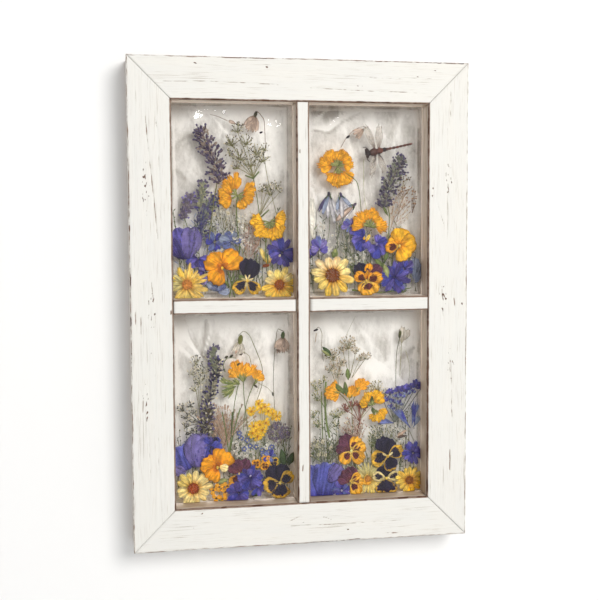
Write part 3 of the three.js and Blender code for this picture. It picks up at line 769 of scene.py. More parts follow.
def resin_cast(place):
    """One clear casting: a slightly wavy front and a wrinkled back, in place of its two halves."""
    nodes = [f"resin_front_{place}", f"resin_back_{place}"]
    low, high = box(nodes[0])[0], box(nodes[1])[1]
    centre = opening_centre(place)
    x, z = np.meshgrid(grid_lines(low[0], high[0], CAST_COLUMNS), grid_lines(low[2], high[2], CAST_ROWS))
    seed = 11 * (1 + list(LIGHTS).index(place))
    veil, relief = veil_at(x - centre[0], z - centre[1], seed, FOLDS[place])
    edge = np.minimum(np.minimum(x - low[0], high[0] - x), np.minimum(z - low[2], high[2] - z))
    # Less grey near the top of each light: painted light that lifts the lip's shadow there. The rim lines
    # add a painted highlight and shade.
    veil = veil + PAINTED_SHADE_SHIFT[place] - 0.3 * ramp(z - centre[1], 62, 88) + edge_lines(edge, x, z, seed)
    inside = ramp(edge, 6.5, 11)
    wave = 0.25 * (rough(x * 0.045, z * 0.045, seed + 20) - 0.5)
    ridge = sum(min(0.4, height) * crease(x - centre[0], z - centre[1], line, wide, side)
                for line, wide, side, strength, height in FOLDS[place] if strength < -0.85)
    rim = np.exp(-(edge - BEADING) ** 2)
    lean = facets(x - centre[0], z - centre[1], GLINTS[place], seed + 70)
    beading = 0.35 * rim * rough(x * 0.06, z * 0.06, seed + 60)
    front = low[1] + 0.12 + inside * (0.1 + wave - 1.0 * ridge + lean) - beading
    back = high[1] - 0.1 - ramp(edge, 0.5, 6) * np.clip(relief, -0.1, 1.1) * 0.9
    points, faces, painted_shadings = slab(x, z, front, back, veil)
    piece = new_piece(f"resin_{place}", points, faces, {"veil": painted_shadings}, [RESIN], nodes)
    face_outwards(piece.data)
    piece.visible_shadow = False
    return piece


# ---- the frame's own sizes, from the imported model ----

LIGHTS = {"top_left": (-1, 1), "top_right": (1, 1), "bottom_left": (-1, -1), "bottom_right": (1, -1)}
SASH_LOW, SASH_HIGH = box("stile_left")[0], box("stile_right")[1]
CENTRE_Z = (SASH_LOW[2] + SASH_HIGH[2]) / 2
SASH_DEPTH = SASH_HIGH[1] - SASH_LOW[1]
RESIN_GAP = 0.3                 # between the resin and the wood round it
LIP = box("resin_front_top_left")[0][1] - SASH_LOW[1] - RESIN_GAP
RABBET = 6                      # depth of the rabbet that the resin sits in
ARRIS = 0.7                     # of the members' front corners
FACE_DEEP = 1.2                 # what still counts as a member's front face
MITRE_GAP, BAR_GAP, LAP_GAP = 0.08, 0.15, 0.3
MEMBER_STEP, BAR_STEP = 2.6, 2.2    # between the rings along a member
KEYHOLE = {"slot": 5, "entry": 10, "drop": 9, "mouth": 4, "inside": 9, "past": 1}
OPEN_WIDE = box("stile_right")[0][0] - box("stile_left")[1][0]
OPEN_TALL = box("rail_top")[0][2] - box("rail_bottom")[1][2]
WEB = box("resin_front_top_right")[0][0] * 2 - 2 * RESIN_GAP


def opening_centre(place):
    """Middle of the clear opening in front of one light."""
    side, row = LIGHTS[place]
    upright, cross = box("bar_upright")[1][0], (box("bar_cross")[1][2] - box("bar_cross")[0][2]) / 2
    return np.array([side * (upright + OPEN_WIDE / 2) / 2, CENTRE_Z + row * (cross + OPEN_TALL / 2) / 2])


WOOD = wood_material()
RESIN = resin_material()

member("stile_left", False, False)
member("stile_right", False, True)
keyhole_cut(member("rail_top", True, True))
member("rail_bottom", True, False)
bar("bar_upright", False)
bar("bar_cross", True)
for light in LIGHTS:
    resin_cast(light)


# ---- pressed pieces ----

PETAL_SLOT, STALK_SLOT, SHEER_SLOT, VELVET_SLOT = range(4)    # in FLOWER_MATERIALS
CHITIN_SLOT, WING_SLOT = range(2)                             # in the dragonfly's materials
RESIN_COVER = 1.6               # of resin over what lies nearest to a casting's edge


class Sheet:
    """Flat pressed parts gathered into one mesh, in mm from the middle of one light's opening."""

    def __init__(self):
        self.points, self.faces, self.body, self.marked, self.field, self.slots = [], [], [], [], [], []
        self.count = 0

    def add(self, points, faces, body, marked, field, slot):
        """Adds a part: its points, body and mark colours, and field: along, across, mark's edge."""
        points = points.reshape(-1, 3)
        seed = np.full((len(points), 1), CHANCE.random())
        self.points.append(points)
        self.faces.append(faces + self.count)
        self.body.append(np.hstack([body, seed]))
        self.marked.append(np.hstack([marked, seed]))
        self.field.append(field.reshape(-1, 3))
        self.slots.append(np.full(len(faces), slot))
        self.count += len(points)


def shell(sheet, grid, thick, body, marked, field, slot):
    """A thin closed leaf from a grid of points that runs along, then across."""
    half, size = np.array([0, thick / 2, 0]), grid[..., 0].size
    points = np.concatenate([(grid + side * half).reshape(-1, 3) for side in (-1, 1)])
    (a, b, c, d), rim, after = grid_parts(*grid.shape[:2])
    faces = np.concatenate([np.stack([a, d, c, b], 1), np.stack([b, c, d, a], 1) + size,
                            np.stack([rim, after, after + size, rim + size], 1)])
    twice = [np.concatenate([part.reshape(-1, 3)] * 2) for part in (body, marked, field)]
    sheet.add(points, faces, *twice, slot)


# Petal outlines: how far the base is drawn in, where it is fullest, notch, ruffles, grid of points.
ROUND = dict(pinch=0.62, full=0.7, notch=0.04, ruffle=0.035, waves=3.0, grid=(9, 8))
BROAD = dict(pinch=0.66, full=0.75, notch=0.07, ruffle=0.055, waves=3.5, grid=(9, 9))
GREAT = dict(pinch=0.7, full=0.6, notch=0.03, ruffle=0.03, waves=2.5, grid=(12, 12))
RAY = dict(pinch=0.62, full=0.5, notch=0.04, ruffle=0.03, waves=2.5, grid=(9, 5))
FAN = dict(pinch=0.2, full=1.0, notch=0.0, ruffle=0.12, waves=3.5, grid=(7, 8), square=0.72)
LEAF = dict(pinch=0.12, full=0.42, notch=0.0, ruffle=0.0, waves=1.0, grid=(7, 3), point=0.08)
SMALL = dict(pinch=0.6, full=0.6, notch=0.0, ruffle=0.0, waves=1.0, grid=(4, 3))
SHEER = dict(pinch=0.6, full=0.5, notch=0.08, ruffle=0.08, waves=3.0, grid=(10, 7))


def petal_grid(form):
    """Shares along and across of a petal's points: a disc, a pointed leaf or a fan with a square end."""
    rows, columns = form["grid"]
    v, u = np.meshgrid(np.linspace(-1, 1, rows), np.linspace(-1, 1, columns), indexing="ij")
    if "point" in form:
        along = (v + 1) / 2
        past = np.clip((along - form["full"]) / (1.001 - form["full"]), 0, 1)
        taper = form["point"] + (1 - form["point"]) * np.cos(past * np.pi / 2) ** 0.8
        return along, u * taper, np.abs(u)
    square = form.get("square", 0)
    up = np.where(v > 0, 1 - square, 1.0)
    along = (v * np.sqrt(1 - u ** 2 / 2 * up) + 1) / 2
    across = u * np.sqrt(1 - v ** 2 / 2 * up)
    return along, across, np.hypot(u * np.sqrt(1 - v ** 2 / 2), v * np.sqrt(1 - u ** 2 / 2))


GRIDS = {id(form): petal_grid(form) for form in (ROUND, BROAD, GREAT, RAY, FAN, LEAF, SMALL, SHEER)}


def look(throat, body, rim, mark=None, where=(0.0, -1.0, 1.0), vary=0.08):
    """A petal's colours: throat, body and rim, and a mark at `where`: along, its reach, its breadth."""
    return dict(throat=throat, body=body, rim=rim, mark=mark, where=where, vary=vary)


def petal_colours(paint, along, reach, px, pz, chance):
    """Body and mark colours of a petal's points: throat to body to rim, mottled, with painted shade at its
    edge.
    """
    vary = 1 + paint["vary"] * 2 * (chance[0] - 0.5)
    inner = ramp(along, 0.06, 0.42)[..., None]
    stain = 0.5 * ramp(noise(px * 0.45 + 90 * chance[1], pz * 0.45, 8), 0.45, 0.85)[..., None]
    body = paint["throat"] * (1 - inner * (1 - stain)) + paint["body"] * inner * (1 - stain)
    rim = 0.75 * (ramp(reach, 0.84, 1.0) * ramp(along, 0.2, 0.45))[..., None]
    mottle_and_seam_shade = 1 + 0.34 * (noise(px * 1.1, pz * 1.1 + 40 * chance[2], 12) - 0.5)[..., None]
    mottle_and_seam_shade = mottle_and_seam_shade + 0.42 * (noise(px * 0.3 + 70 * chance[1], pz * 0.3, 14) - 0.5)[..., None]
    # Darker at the very edge: painted shade of the seams where petals meet and overlap.
    mottle_and_seam_shade = mottle_and_seam_shade * (1 - 0.3 * ramp(reach, 0.9, 1.0)[..., None])
    body = (body * (1 - rim) + paint["rim"] * rim) * vary * mottle_and_seam_shade
    marked = body if paint["mark"] is None else paint["mark"] * mottle_and_seam_shade
    return np.clip(body, 0, 1), np.clip(marked, 0, 1)


def petal(sheet, x, z, lean, long, wide, paint, form, lift, slot=PETAL_SLOT, thick=0.14, relief=1.0):
    """One petal or leaf from its base at (x, z), pointing `lean` degrees from +x.

    lift is its depth in its layer, above 0 towards the back, and relief how much it is creased.
    """
    along, across, reach = GRIDS[id(form)]
    chance = CHANCE.random(8)
    wave = across * np.pi * form["waves"] + chance[0] * 6.3
    ripple = form["ruffle"] * (np.sin(wave) + 0.5 * np.sin(2.3 * wave + 1)) * along ** 2
    a = long * (along + ripple - form["notch"] * np.exp(-(across / 0.25) ** 2) * along ** 4)
    drawn = form["pinch"] + (1 - form["pinch"]) * ramp(along, 0, form["full"])
    edge = 1 + form["ruffle"] * np.sin(along * 11 + chance[1] * 6) * along
    b = wide / 2 * across * drawn * edge + wide * 0.08 * (chance[2] - 0.5) * along ** 2
    turn = math.radians(lean)
    px = x + a * math.cos(turn) - b * math.sin(turn)
    pz = z + a * math.sin(turn) + b * math.cos(turn)
    creased = noise(px * 0.35 + chance[3] * 50, pz * 0.35, 3) - 0.5
    fine = noise(px * 0.95 + chance[3] * 50, pz * 0.95, 4) - 0.5
    pleats = np.cos(across * np.pi * 4 + chance[4] * 6) * 0.05 * (1 - along * 0.5)
    py = lift + relief * (0.4 * creased + 0.16 * fine + pleats)
    body, marked = petal_colours(paint, along, reach, px, pz, chance[5:])
    centre, far, breadth = paint["where"]
    spot = 1 - ((along - centre) / abs(far)) ** 2 - (across / breadth) ** 2 if far > 0 else along * 0 - 1
    shell(sheet, np.stack([px, py, pz], -1), thick, body, marked, np.stack([along, across, spot], -1), slot)


def unit_ring(sides):
    """Points of a circle of radius 1."""
    turns = np.arange(sides) * 2 * math.pi / sides
    return np.stack([np.cos(turns), np.sin(turns)], -1)


def loft_faces(rings, sides):
    """Sides and ends, in faces of four, of a closed drop lofted through rings of points."""
    faces, last = loft_sides(rings, sides), (rings - 1) * sides
    for k in range(1, sides - 1, 2):
        faces.append((k + 2 if k + 2 < sides else 0, k + 1, k, 0)[-4:])
        faces.append((last, last + k, last + k + 1, last + (k + 2 if k + 2 < sides else 0)))
    return np.array(faces)


# Drops of three finenesses: places and girths of their rings, the points of a ring and the faces.
FINE_RINGS = [(-0.5, 0.22), (-0.34, 0.76), (0.05, 1.0), (0.36, 0.68), (0.5, 0.16)]
PLAIN_RINGS = [(-0.5, 0.3), (-0.2, 0.98), (0.28, 0.8), (0.5, 0.25)]
TINY_RINGS = [(-0.5, 0.35), (0.02, 1.0), (0.5, 0.3)]
DROPS = {rings: (shape, unit_ring(sides), loft_faces(len(shape), sides))
         for rings, shape, sides in (("fine", FINE_RINGS, 8), ("plain", PLAIN_RINGS, 4),
                                     ("tiny", TINY_RINGS, 4))}


def blob(sheet, x, z, lean, long, wide, shade, lift=0.0, slot=PETAL_SLOT, flat=0.55):
    """A bud, seed or floret: a small closed drop, long along `lean`."""
    shape, ring, faces = DROPS["fine" if wide > 2.3 else "plain" if wide > 1.5 else "tiny"]
    sides = len(ring)
    ring = ring * (1 + 0.18 * (CHANCE.random(8)[:sides, None] - 0.5))
    turn = math.radians(lean)
    a = np.repeat([share * long for share, girth in shape], sides)
    b = np.concatenate([ring[:, 0] * girth * wide / 2 for share, girth in shape])
    depth = np.concatenate([ring[:, 1] * girth * wide / 2 * flat for share, girth in shape])
    spots = np.stack([x + a * math.cos(turn) - b * math.sin(turn), lift - depth,
                      z + a * math.sin(turn) + b * math.cos(turn)], -1)
    tone = shade * some(0.8, 0.4) * (1 + 0.3 * a / long)[:, None]
    field = np.stack([a / long + 0.5, b / wide * 2, np.full(len(a), -1.0)], -1)
    tone = np.clip(tone, 0, 1)
    sheet.add(spots, faces, tone, tone, field, slot)


def stem(sheet, line, thick, shade, lift=0.0, slot=STALK_SLOT, taper=0.75, step=3.2):
    """A pressed stem along a smooth line of (x, z) points."""
    path = curve_points(line, step)
    ring = unit_ring(6 if thick > 0.95 else 4)
    count, sides = len(path), len(ring)
    ahead = np.gradient(path, axis=0)
    ahead /= np.linalg.norm(ahead, axis=1, keepdims=True) + 1e-9
    side = np.stack([-ahead[:, 1], ahead[:, 0]], -1)
    girth = thick / 2 * np.linspace(1, taper, count) * (0.9 + 0.2 * CHANCE.random(count))
    spots = path[:, None] + side[:, None] * (girth[:, None] * ring[:, 0])[..., None]
    depth = lift + girth[:, None] * ring[:, 1] * 0.7
    points = np.stack([spots[..., 0], depth, spots[..., 1]], -1)
    share = np.repeat(np.linspace(0, 1, count)[:, None], sides, 1)
    field = np.stack([share * 8, np.broadcast_to(ring[:, 0], share.shape), share * 0 - 1], -1)
    tone = shade * (0.85 + 0.3 * noise(share.ravel() * 9, CHANCE.random() * 99)[:, None])
    tone = np.clip(tone, 0, 1)
    sheet.add(points, loft_faces(count, sides)[:, ::-1], tone, tone, field, slot)


# ---- colours of the pressed flowers ----

GREEN, OLIVE, PALE_GREEN = rgb(106, 122, 70), rgb(132, 130, 86), rgb(160, 164, 118)
BROWN, BEIGE, PINKISH = rgb(120, 90, 62), rgb(196, 174, 146), rgb(190, 156, 138)
CALYX = rgb(150, 148, 78)
CREAM, GREY_GREEN, INK = rgb(226, 216, 188), rgb(128, 132, 112), rgb(42, 32, 40)
GREY_VIOLET, BLUE_VIOLET, DISC_GOLD = rgb(106, 96, 120), rgb(82, 78, 134), rgb(226, 160, 76)

YELLOW = look(rgb(208, 132, 20), rgb(242, 188, 44), rgb(232, 166, 34))
AMBER = look(rgb(200, 118, 20), rgb(236, 172, 40), rgb(222, 146, 28))
ORANGE = look(rgb(216, 128, 20), rgb(242, 168, 28), rgb(232, 146, 26), rgb(190, 106, 18), (0.08, 0.2, 0.4))
ORANGE_SPOT = look(rgb(240, 190, 70), rgb(238, 160, 36), rgb(236, 162, 44), rgb(92, 38, 26),
                   (0.36, 0.3, 0.62))
SUN = look(rgb(206, 140, 32), rgb(246, 208, 88), rgb(246, 212, 108))
PALE_SUN = look(rgb(218, 164, 66), rgb(250, 228, 156), rgb(250, 234, 178))
BLUSH = look(rgb(212, 158, 72), rgb(246, 220, 166), rgb(242, 214, 172))
LEMON = look(rgb(196, 150, 52), rgb(244, 218, 124), rgb(244, 222, 146))
STRAW = look(rgb(204, 150, 60), rgb(228, 196, 104), rgb(232, 212, 150), vary=0.16)
ASTER = look(rgb(188, 164, 84), rgb(218, 206, 140), rgb(226, 220, 176), vary=0.14)
# BLACK's rim is lighter and bluer: a painted sheen along the edges of the dark petals.
BLACK = look(rgb(36, 28, 44), rgb(36, 31, 54), rgb(60, 56, 90))
RIMMED = look(rgb(228, 190, 92), rgb(226, 176, 56), rgb(232, 188, 70), rgb(40, 33, 54), (0.4, 0.34, 0.74))
THIN_RIM = look(rgb(224, 184, 90), rgb(220, 168, 54), rgb(228, 184, 70), rgb(40, 33, 58), (0.42, 0.42, 0.86))
CREAM_RIM = look(rgb(226, 206, 140), rgb(230, 210, 150), rgb(236, 218, 164), rgb(46, 36, 56),
                 (0.52, 0.3, 0.56))
WINE = look(rgb(116, 62, 62), rgb(96, 54, 76), rgb(118, 72, 96))
WINE_GOLD = look(rgb(240, 204, 100), rgb(236, 170, 46), rgb(234, 172, 60), rgb(92, 40, 44),
                 (0.34, 0.24, 0.55))
VIOLET = look(rgb(72, 60, 134), rgb(102, 94, 176), rgb(144, 134, 204))
PERIWINKLE = look(rgb(64, 62, 138), rgb(94, 98, 178), rgb(132, 136, 208))
DARK_VIOLET = look(rgb(60, 48, 106), rgb(74, 64, 132), rgb(98, 88, 156))
SHEER_VIOLET = look(rgb(108, 96, 164), rgb(138, 126, 190), rgb(116, 104, 172))
SHEER_BLUE = look(rgb(140, 152, 186), rgb(160, 172, 198), rgb(128, 142, 180))
SHEER_CREAM = look(rgb(200, 190, 170), rgb(226, 218, 204), rgb(204, 192, 178))
SHEER_WHITE = look(rgb(150, 146, 160), rgb(228, 226, 228), rgb(128, 124, 146))
WHITE = look(rgb(226, 222, 206), rgb(240, 238, 230), rgb(226, 224, 212))
SHEER_PINK = look(rgb(168, 140, 120), rgb(212, 188, 170), rgb(180, 156, 138))
INDIGO = look(rgb(46, 44, 116), rgb(66, 68, 156), rgb(112, 114, 196))
SKY = look(rgb(98, 106, 162), rgb(106, 118, 172), rgb(134, 144, 190))
LEAVES = look(rgb(96, 110, 60), rgb(110, 126, 72), rgb(124, 136, 86))
LIGHT_LEAF = look(rgb(140, 146, 90), rgb(166, 172, 110), rgb(150, 156, 100))
DARK_LEAF = look(rgb(56, 70, 44), rgb(68, 88, 54), rgb(86, 102, 66))
ORANGE_HEAD = look(rgb(240, 186, 70), rgb(242, 168, 40), rgb(238, 150, 32))
TANSY = look(rgb(206, 142, 18), rgb(242, 198, 52), rgb(244, 208, 84))
CREAM_EYE = look(rgb(240, 206, 120), rgb(246, 226, 168), rgb(248, 234, 196))
CREAMY = look(CREAM, rgb(232, 222, 196), CREAM)
DUSK = look(rgb(80, 70, 102), rgb(102, 92, 126), rgb(122, 112, 140), vary=0.2)
FADED = look(rgb(66, 58, 92), rgb(84, 76, 112), rgb(106, 98, 130), vary=0.2)
GLASSY = look(rgb(214, 204, 190), rgb(226, 220, 208), rgb(196, 184, 168))
DRIED = look(rgb(176, 144, 120), rgb(204, 178, 156), rgb(178, 148, 124), vary=0.15)

UNDERGROWTH = [rgb(112, 110, 72), rgb(84, 98, 56), rgb(110, 114, 98), rgb(74, 78, 54), PALE_GREEN]


# ---- kinds of flower ----
# Every one lays its parts on a sheet, round or from (x, z), in mm from the middle of the opening.

VIOLA_EYE, STIGMA = rgb(240, 200, 90), rgb(150, 160, 90)
GOLDEN_ANGLE = 2.39996          # between a disc's florets, in radians
WHORL_PITCH = 1.9               # between a lavender's whorls
LACE_SIZE = 1.6
THICKET_SIDE, THICKET_FOOT = 54, -90    # how far the undergrowth reaches to both sides, and down


def leaf(sheet, x, z, lean, long, wide, paint, lift):
    """A pointed green leaf or sepal."""
    petal(sheet, x, z, lean, long, wide, paint, LEAF, lift, STALK_SLOT)


def viola(sheet, x, z, petals, eye=VIOLA_EYE, slot=VELVET_SLOT, form=ROUND):
    """Petals are (lean, length, width, look), from the back one to the front one."""
    for i, (lean, long, wide, paint) in enumerate(petals):
        lift = 0.3 - 0.6 * i / (len(petals) - 1)
        east, north = towards(lean)
        petal(sheet, x + east, z + north, lean, long, wide, paint, form, lift, slot)
    blob(sheet, x, z, 90, 3.2, 2.6, eye, -0.45)
    blob(sheet, x, z + 0.6, 90, 1.4, 1.2, STIGMA, -0.75)


def daisy(sheet, x, z, count, long, wide, turn, paints, disc, across, uneven=0.12):
    """Rays round a disc of packed florets; paints are used in turn from angle `turn` on."""
    for i in range(count):
        lean = turn + i * 360 / count + sway(8)
        reach = long * (1 + uneven * 2 * (CHANCE.random() - 0.5))
        paint = paints[int(i * len(paints) / count)]
        east, north = towards(lean, 0.7 * across)
        petal(sheet, x + east, z + north, lean, reach - 0.7 * across, wide, paint, RAY,
              0.24 - 0.26 * (i % 2))
    seeds = int(13 * across)
    for i in range(seeds):
        share = (i + 0.5) / seeds
        out, angle = across * 0.95 * math.sqrt(share), i * GOLDEN_ANGLE
        tone = disc[0] * (1 - share) + disc[1] * share
        blob(sheet, x + out * math.cos(angle), z + out * math.sin(angle), math.degrees(angle), 1.5, 1.1,
             tone, -0.6 + 0.12 * share, flat=0.8)


def floret(sheet, x, z, lean, long, wide, paint, lift):
    """A ruffled bell seen from the side: four petals out of a narrow throat, in a green cup."""
    for offset, share in ((-36, 0.76), (32, 0.8), (-13, 0.92), (13, 0.95), (0, 0.72)):
        petal(sheet, x, z, lean + offset + sway(14), long * (share + 0.2 * CHANCE.random()),
              wide * some(0.5, 0.26), paint, FAN if CHANCE.random() < 0.25 else BROAD,
              lift + 0.16 * offset / 24)
    blob(sheet, x, z, lean, 4.4, 1.6, CALYX, lift - 0.2, STALK_SLOT)


def head(sheet, x, z, leans, inner, long, wide, paint, green=CALYX):
    """Florets on short stalks round a centre, with narrow green sepals between them."""
    for i, lean in enumerate(leans):
        lean = lean + sway(7)
        east, north = towards(lean, inner * some(0.85, 0.3))
        stem(sheet, [(x, z), (x + east, z + north)], 0.8, green, 0.1)
        floret(sheet, x + east, z + north, lean, long * some(0.74, 0.44), wide, paint,
               0.2 - 0.1 * (i % 4))
        for k in range(2):
            leaf(sheet, x, z, lean + sway(40), inner * some(0.9, 0.5), 1.2, (LEAVES, LIGHT_LEAF)[k],
                 -0.25 - 0.2 * k)


def calyx(sheet, x, z, up, reach, shades, tips):
    """One calyx of a lavender whorl, and in some a tiny corolla at its mouth."""
    lean = up + 78 * (2 * CHANCE.random() - 1)
    start = reach * some(0.15, 0.5)
    long = some(2.6, 2.2)
    lift = some(0.35, -0.75)
    east, north = towards(lean, start)
    blob(sheet, x + east, z + north, lean, long, some(1.5, 0.6), pick(shades), lift, STALK_SLOT)
    if CHANCE.random() < 0.42:
        east, north = towards(lean, start + long * 0.5)
        petal(sheet, x + east, z + north, lean + sway(50), some(2.0, 1.3),
              2.0, pick(tips), SMALL, lift - 0.1)


def spike(sheet, line, wide, shades, tips):
    """Lavender: whorls of nine small calyces up a stem, widest at mid height."""
    path = curve_points(line, WHORL_PITCH)
    count = len(path)
    stem(sheet, line, 1.0, OLIVE, 0.25)
    for i, (x, z) in enumerate(path):
        ahead = path[min(i + 1, count - 1)] - path[max(i - 1, 0)]
        up = math.degrees(math.atan2(-ahead[1], -ahead[0]))
        share = i / (count - 1)
        reach = wide / 2 * (0.35 + 0.65 * math.sin(math.pi * (0.12 + 0.78 * share)) ** 0.7)
        reach *= some(0.8, 0.35)
        for _ in range(9):
            calyx(sheet, x, z, up, reach, shades, tips)


def tiny_flower(sheet, x, z, size, paint, heart, lift):
    """Five round petals and a heart."""
    turn = 72 * CHANCE.random()
    for k in range(5):
        petal(sheet, x, z, turn + 72 * k, size, size * 0.8, paint, SMALL, lift, relief=0.4)
    blob(sheet, x, z, 0, size * 0.6, size * 0.5, heart, lift - 0.15)


def puff(sheet, x, z, across, tall, count, shades, root, thin=0.32, size=1.3, stalk=OLIVE, share=0.55):
    """A cloud of buds in an ellipse, part of them on hair stalks that run to root."""
    root = np.array(root, float)
    for _ in range(count):
        angle, out = CHANCE.random() * 2 * math.pi, math.sqrt(CHANCE.random())
        spot = np.array([x + across / 2 * out * math.cos(angle), z + tall / 2 * out * math.sin(angle)])
        lean = math.degrees(math.atan2(*(spot - root)[::-1]))
        lift = some(0.35, -0.7)
        if CHANCE.random() < share:
            reach = np.linalg.norm(spot - root)
            start = root + (spot - root) * max(0.0, 1 - 9 / (reach + 1e-6))
            bend = (start + spot) / 2 + (CHANCE.random(2) - 0.5) * 1.6
            stem(sheet, [start, bend, spot], thin, stalk, lift, taper=0.8, step=3)
        blob(sheet, *spot, lean + sway(40), size * some(0.8, 0.7),
             size * some(0.6, 0.4), pick(shades), lift, STALK_SLOT)


def lace(sheet, x, z, across, tall, count, paint):
    """Tiny flowers strewn over an ellipse."""
    for _ in range(count):
        angle, out = CHANCE.random() * 2 * math.pi, math.sqrt(CHANCE.random()) / 2
        tiny_flower(sheet, x + across * out * math.cos(angle), z + tall * out * math.sin(angle),
                    LACE_SIZE * some(0.6, 0.7), paint, BEIGE, some(0.2, -0.5))


def thicket(sheet, top, count, tips):
    """Fine stalks with small leaves and buds, upright behind the flowers from side to side."""
    for i in range(count):
        x = -THICKET_SIDE + 2 * THICKET_SIDE * (i + CHANCE.random()) / count
        z = THICKET_FOOT + 9 * CHANCE.random()
        high = THICKET_FOOT + (top - THICKET_FOOT) * some(0.45, 0.55)
        bow = 9 * (CHANCE.random(2) - 0.5)
        line = [(x, z), (x + bow[0], (z + high) / 2), (x + bow[0] + bow[1], high)]
        shade = pick(UNDERGROWTH)
        lift = some(0.4, -0.8)
        stem(sheet, line, some(0.4, 0.5), shade, lift, step=4)
        path = curve_points(line, 4.0)
        for at_x, at_z in path[2:]:
            lean = 90 + (40 if CHANCE.random() < 0.5 else -40) + 20 * CHANCE.random()
            if CHANCE.random() < 0.4:
                petal(sheet, at_x, at_z, lean, some(3, 3), 0.9, pick(tips), SMALL, lift - 0.1, STALK_SLOT)
            else:
                blob(sheet, at_x + sway(1.5), at_z, lean, 1.9, 1.2, shade * 1.15, lift, STALK_SLOT)


def umbel(sheet, root, heads, thick, stalk, shades, size=1.3, blooms=None):
    """Rays from one point, each with a small head (x, z, across, buds)."""
    for x, z, across, count in heads:
        middle = ((root[0] + x) / 2 + sway(1.2), (root[1] + z) / 2)
        stem(sheet, [root, middle, (x, z - across * 0.25)], thick, stalk, 0.1)
        puff(sheet, x, z, across * 1.15, across, int(count * 1.7), shades, (x, z - across * 0.35),
             thick * 0.5, size, stalk, 0.75)
        for _ in range(0 if blooms is None else count // 3):
            angle, out = CHANCE.random() * 6.3, across * 0.45 * math.sqrt(CHANCE.random())
            tiny_flower(sheet, x + out * math.cos(angle), z + out * math.sin(angle), 1.3, blooms, OLIVE,
                        -0.1 - 0.3 * CHANCE.random())


def bell(sheet, x, z, lean, long, wide, paint, cap, cap_long=6.0, cap_wide=3.4):
    """A nodding bell: sheer petals out of a dark cap, with a dry tip."""
    for offset, share in ((-26, 0.9), (25, 0.92), (-9, 1.0), (10, 0.97)):
        petal(sheet, x, z, lean + offset, long * share, wide * 0.5, paint, SHEER, 0.15 * offset / 20,
              SHEER_SLOT)
    east, north = towards(lean + 180, 1.2)
    blob(sheet, x + east, z + north, lean, cap_long, cap_wide, cap, -0.2, STALK_SLOT)


def hanging(sheet, x, z, leans, longs, wide, paints, cap):
    """A faded bell: narrow sheer petals that hang apart from a dark cap."""
    for i, (lean, long) in enumerate(zip(leans, longs)):
        petal(sheet, x, z, lean, long, wide * some(0.85, 0.3), paints[i], RAY if i % 2 else SHEER,
              0.2 - 0.4 * (i % 2), SHEER_SLOT if i else VELVET_SLOT)
    middle = sum(leans) / len(leans)
    blob(sheet, x, z, middle, 5.0, 3.0, cap, -0.3, STALK_SLOT)
    for lean in (middle - 34, middle + 34):
        leaf(sheet, x, z, lean, 6.0, 1.6, DARK_LEAF, -0.3)


def ragged(sheet, x, z, count, long, wide, paints, turn=0.0, arc=360.0, form=BROAD, slot=PETAL_SLOT):
    """A loose bunch of petals, as on a pressed delphinium or cornflower."""
    for i in range(count):
        lean = turn + arc * i / count + sway(24)
        east, north = towards(lean, 1.5 * CHANCE.random())
        petal(sheet, x + east, z + north, lean, long * some(0.75, 0.4), wide * some(0.8, 0.4),
              paints[i % len(paints)], form, 0.35 - 0.7 * (i % 5) / 4, slot)


# ---- materials of the pressed pieces ----

FRAY = 2.2                      # how far noise moves the edge of a petal's mark


def pressed_shade(tree, vein_scale, contrast):
    """The body colour, or its mark's with a frayed edge, streaked by veins that run along."""
    body = attribute(tree, "body")
    marked = attribute(tree, "marked").outputs["Color"]
    field = put(tree, "ShaderNodeSeparateXYZ", {0: attribute(tree, "field").outputs["Vector"]})
    flow = put(tree, "ShaderNodeCombineXYZ", {
        0: times(tree, field.outputs[1], vein_scale), 1: times(tree, field.outputs[0], 1.3),
        2: times(tree, body.outputs["Alpha"], 60.0)})
    veins = texture(tree, flow.outputs[0], 1.0, 2.0, 0.5, 0.4)
    place = put(tree, "ShaderNodeTexCoord").outputs["Object"]
    blotch = texture(tree, place, 380.0, 3.0)
    frayed = plus(tree, reckon(tree, "SUBTRACT", veins, 0.5), reckon(tree, "SUBTRACT", blotch, 0.5))
    edge = plus(tree, field.outputs[2], times(tree, frayed, FRAY))
    shade = mixed(tree, spread(tree, edge, -0.1, 0.1), body.outputs["Color"], marked)
    shade = mixed(tree, 1.0, shade, spread(tree, veins, 0.32, 0.68, 1 - contrast, 1 + contrast * 0.5),
                  "MULTIPLY")
    return mixed(tree, 1.0, shade, spread(tree, blotch, 0.3, 0.7, 0.82, 1.12), "MULTIPLY"), veins, blotch


def pressed_material(name, vein_scale, contrast, rough_low, alpha=1.0, sheen=0.0, specular=0.25):
    """A pressed part's material: how fine and strong its veins are, and its surface."""
    material, tree, surface = new_material(name)
    shade, veins, blotch = pressed_shade(tree, vein_scale, contrast)
    tree.links.new(shade, surface.inputs["Base Color"])
    tree.links.new(spread(tree, blotch, 0.3, 0.7, rough_low, rough_low + 0.16), surface.inputs["Roughness"])
    surface.inputs["Specular IOR Level"].default_value = specular
    surface.inputs["Sheen Weight"].default_value = sheen
    surface.inputs["Alpha"].default_value = alpha
    bump(tree, surface, plus(tree, veins, times(tree, blotch, 0.5)), 0.4, 0.0003)
    return material


FLOWER_MATERIALS = [
    pressed_material("pressed petal", 3.4, 0.38, 0.58),
    pressed_material("dry stalk", 3.0, 0.24, 0.68),
    pressed_material("sheer petal", 4.0, 0.4, 0.5, alpha=0.62),
    pressed_material("velvet petal", 3.8, 0.5, 0.66, sheen=0.14),
]
CHITIN = pressed_material("brown chitin", 4.0, 0.2, 0.32, specular=0.5)
WING = pressed_material("clear wing", 12.0, 0.16, 0.2, alpha=0.34, specular=0.5)
LAYER_Y = middle_y("top_left_yellow_daisy")
LAYER_PITCH = middle_y("top_left_dark_pansy") - LAYER_Y


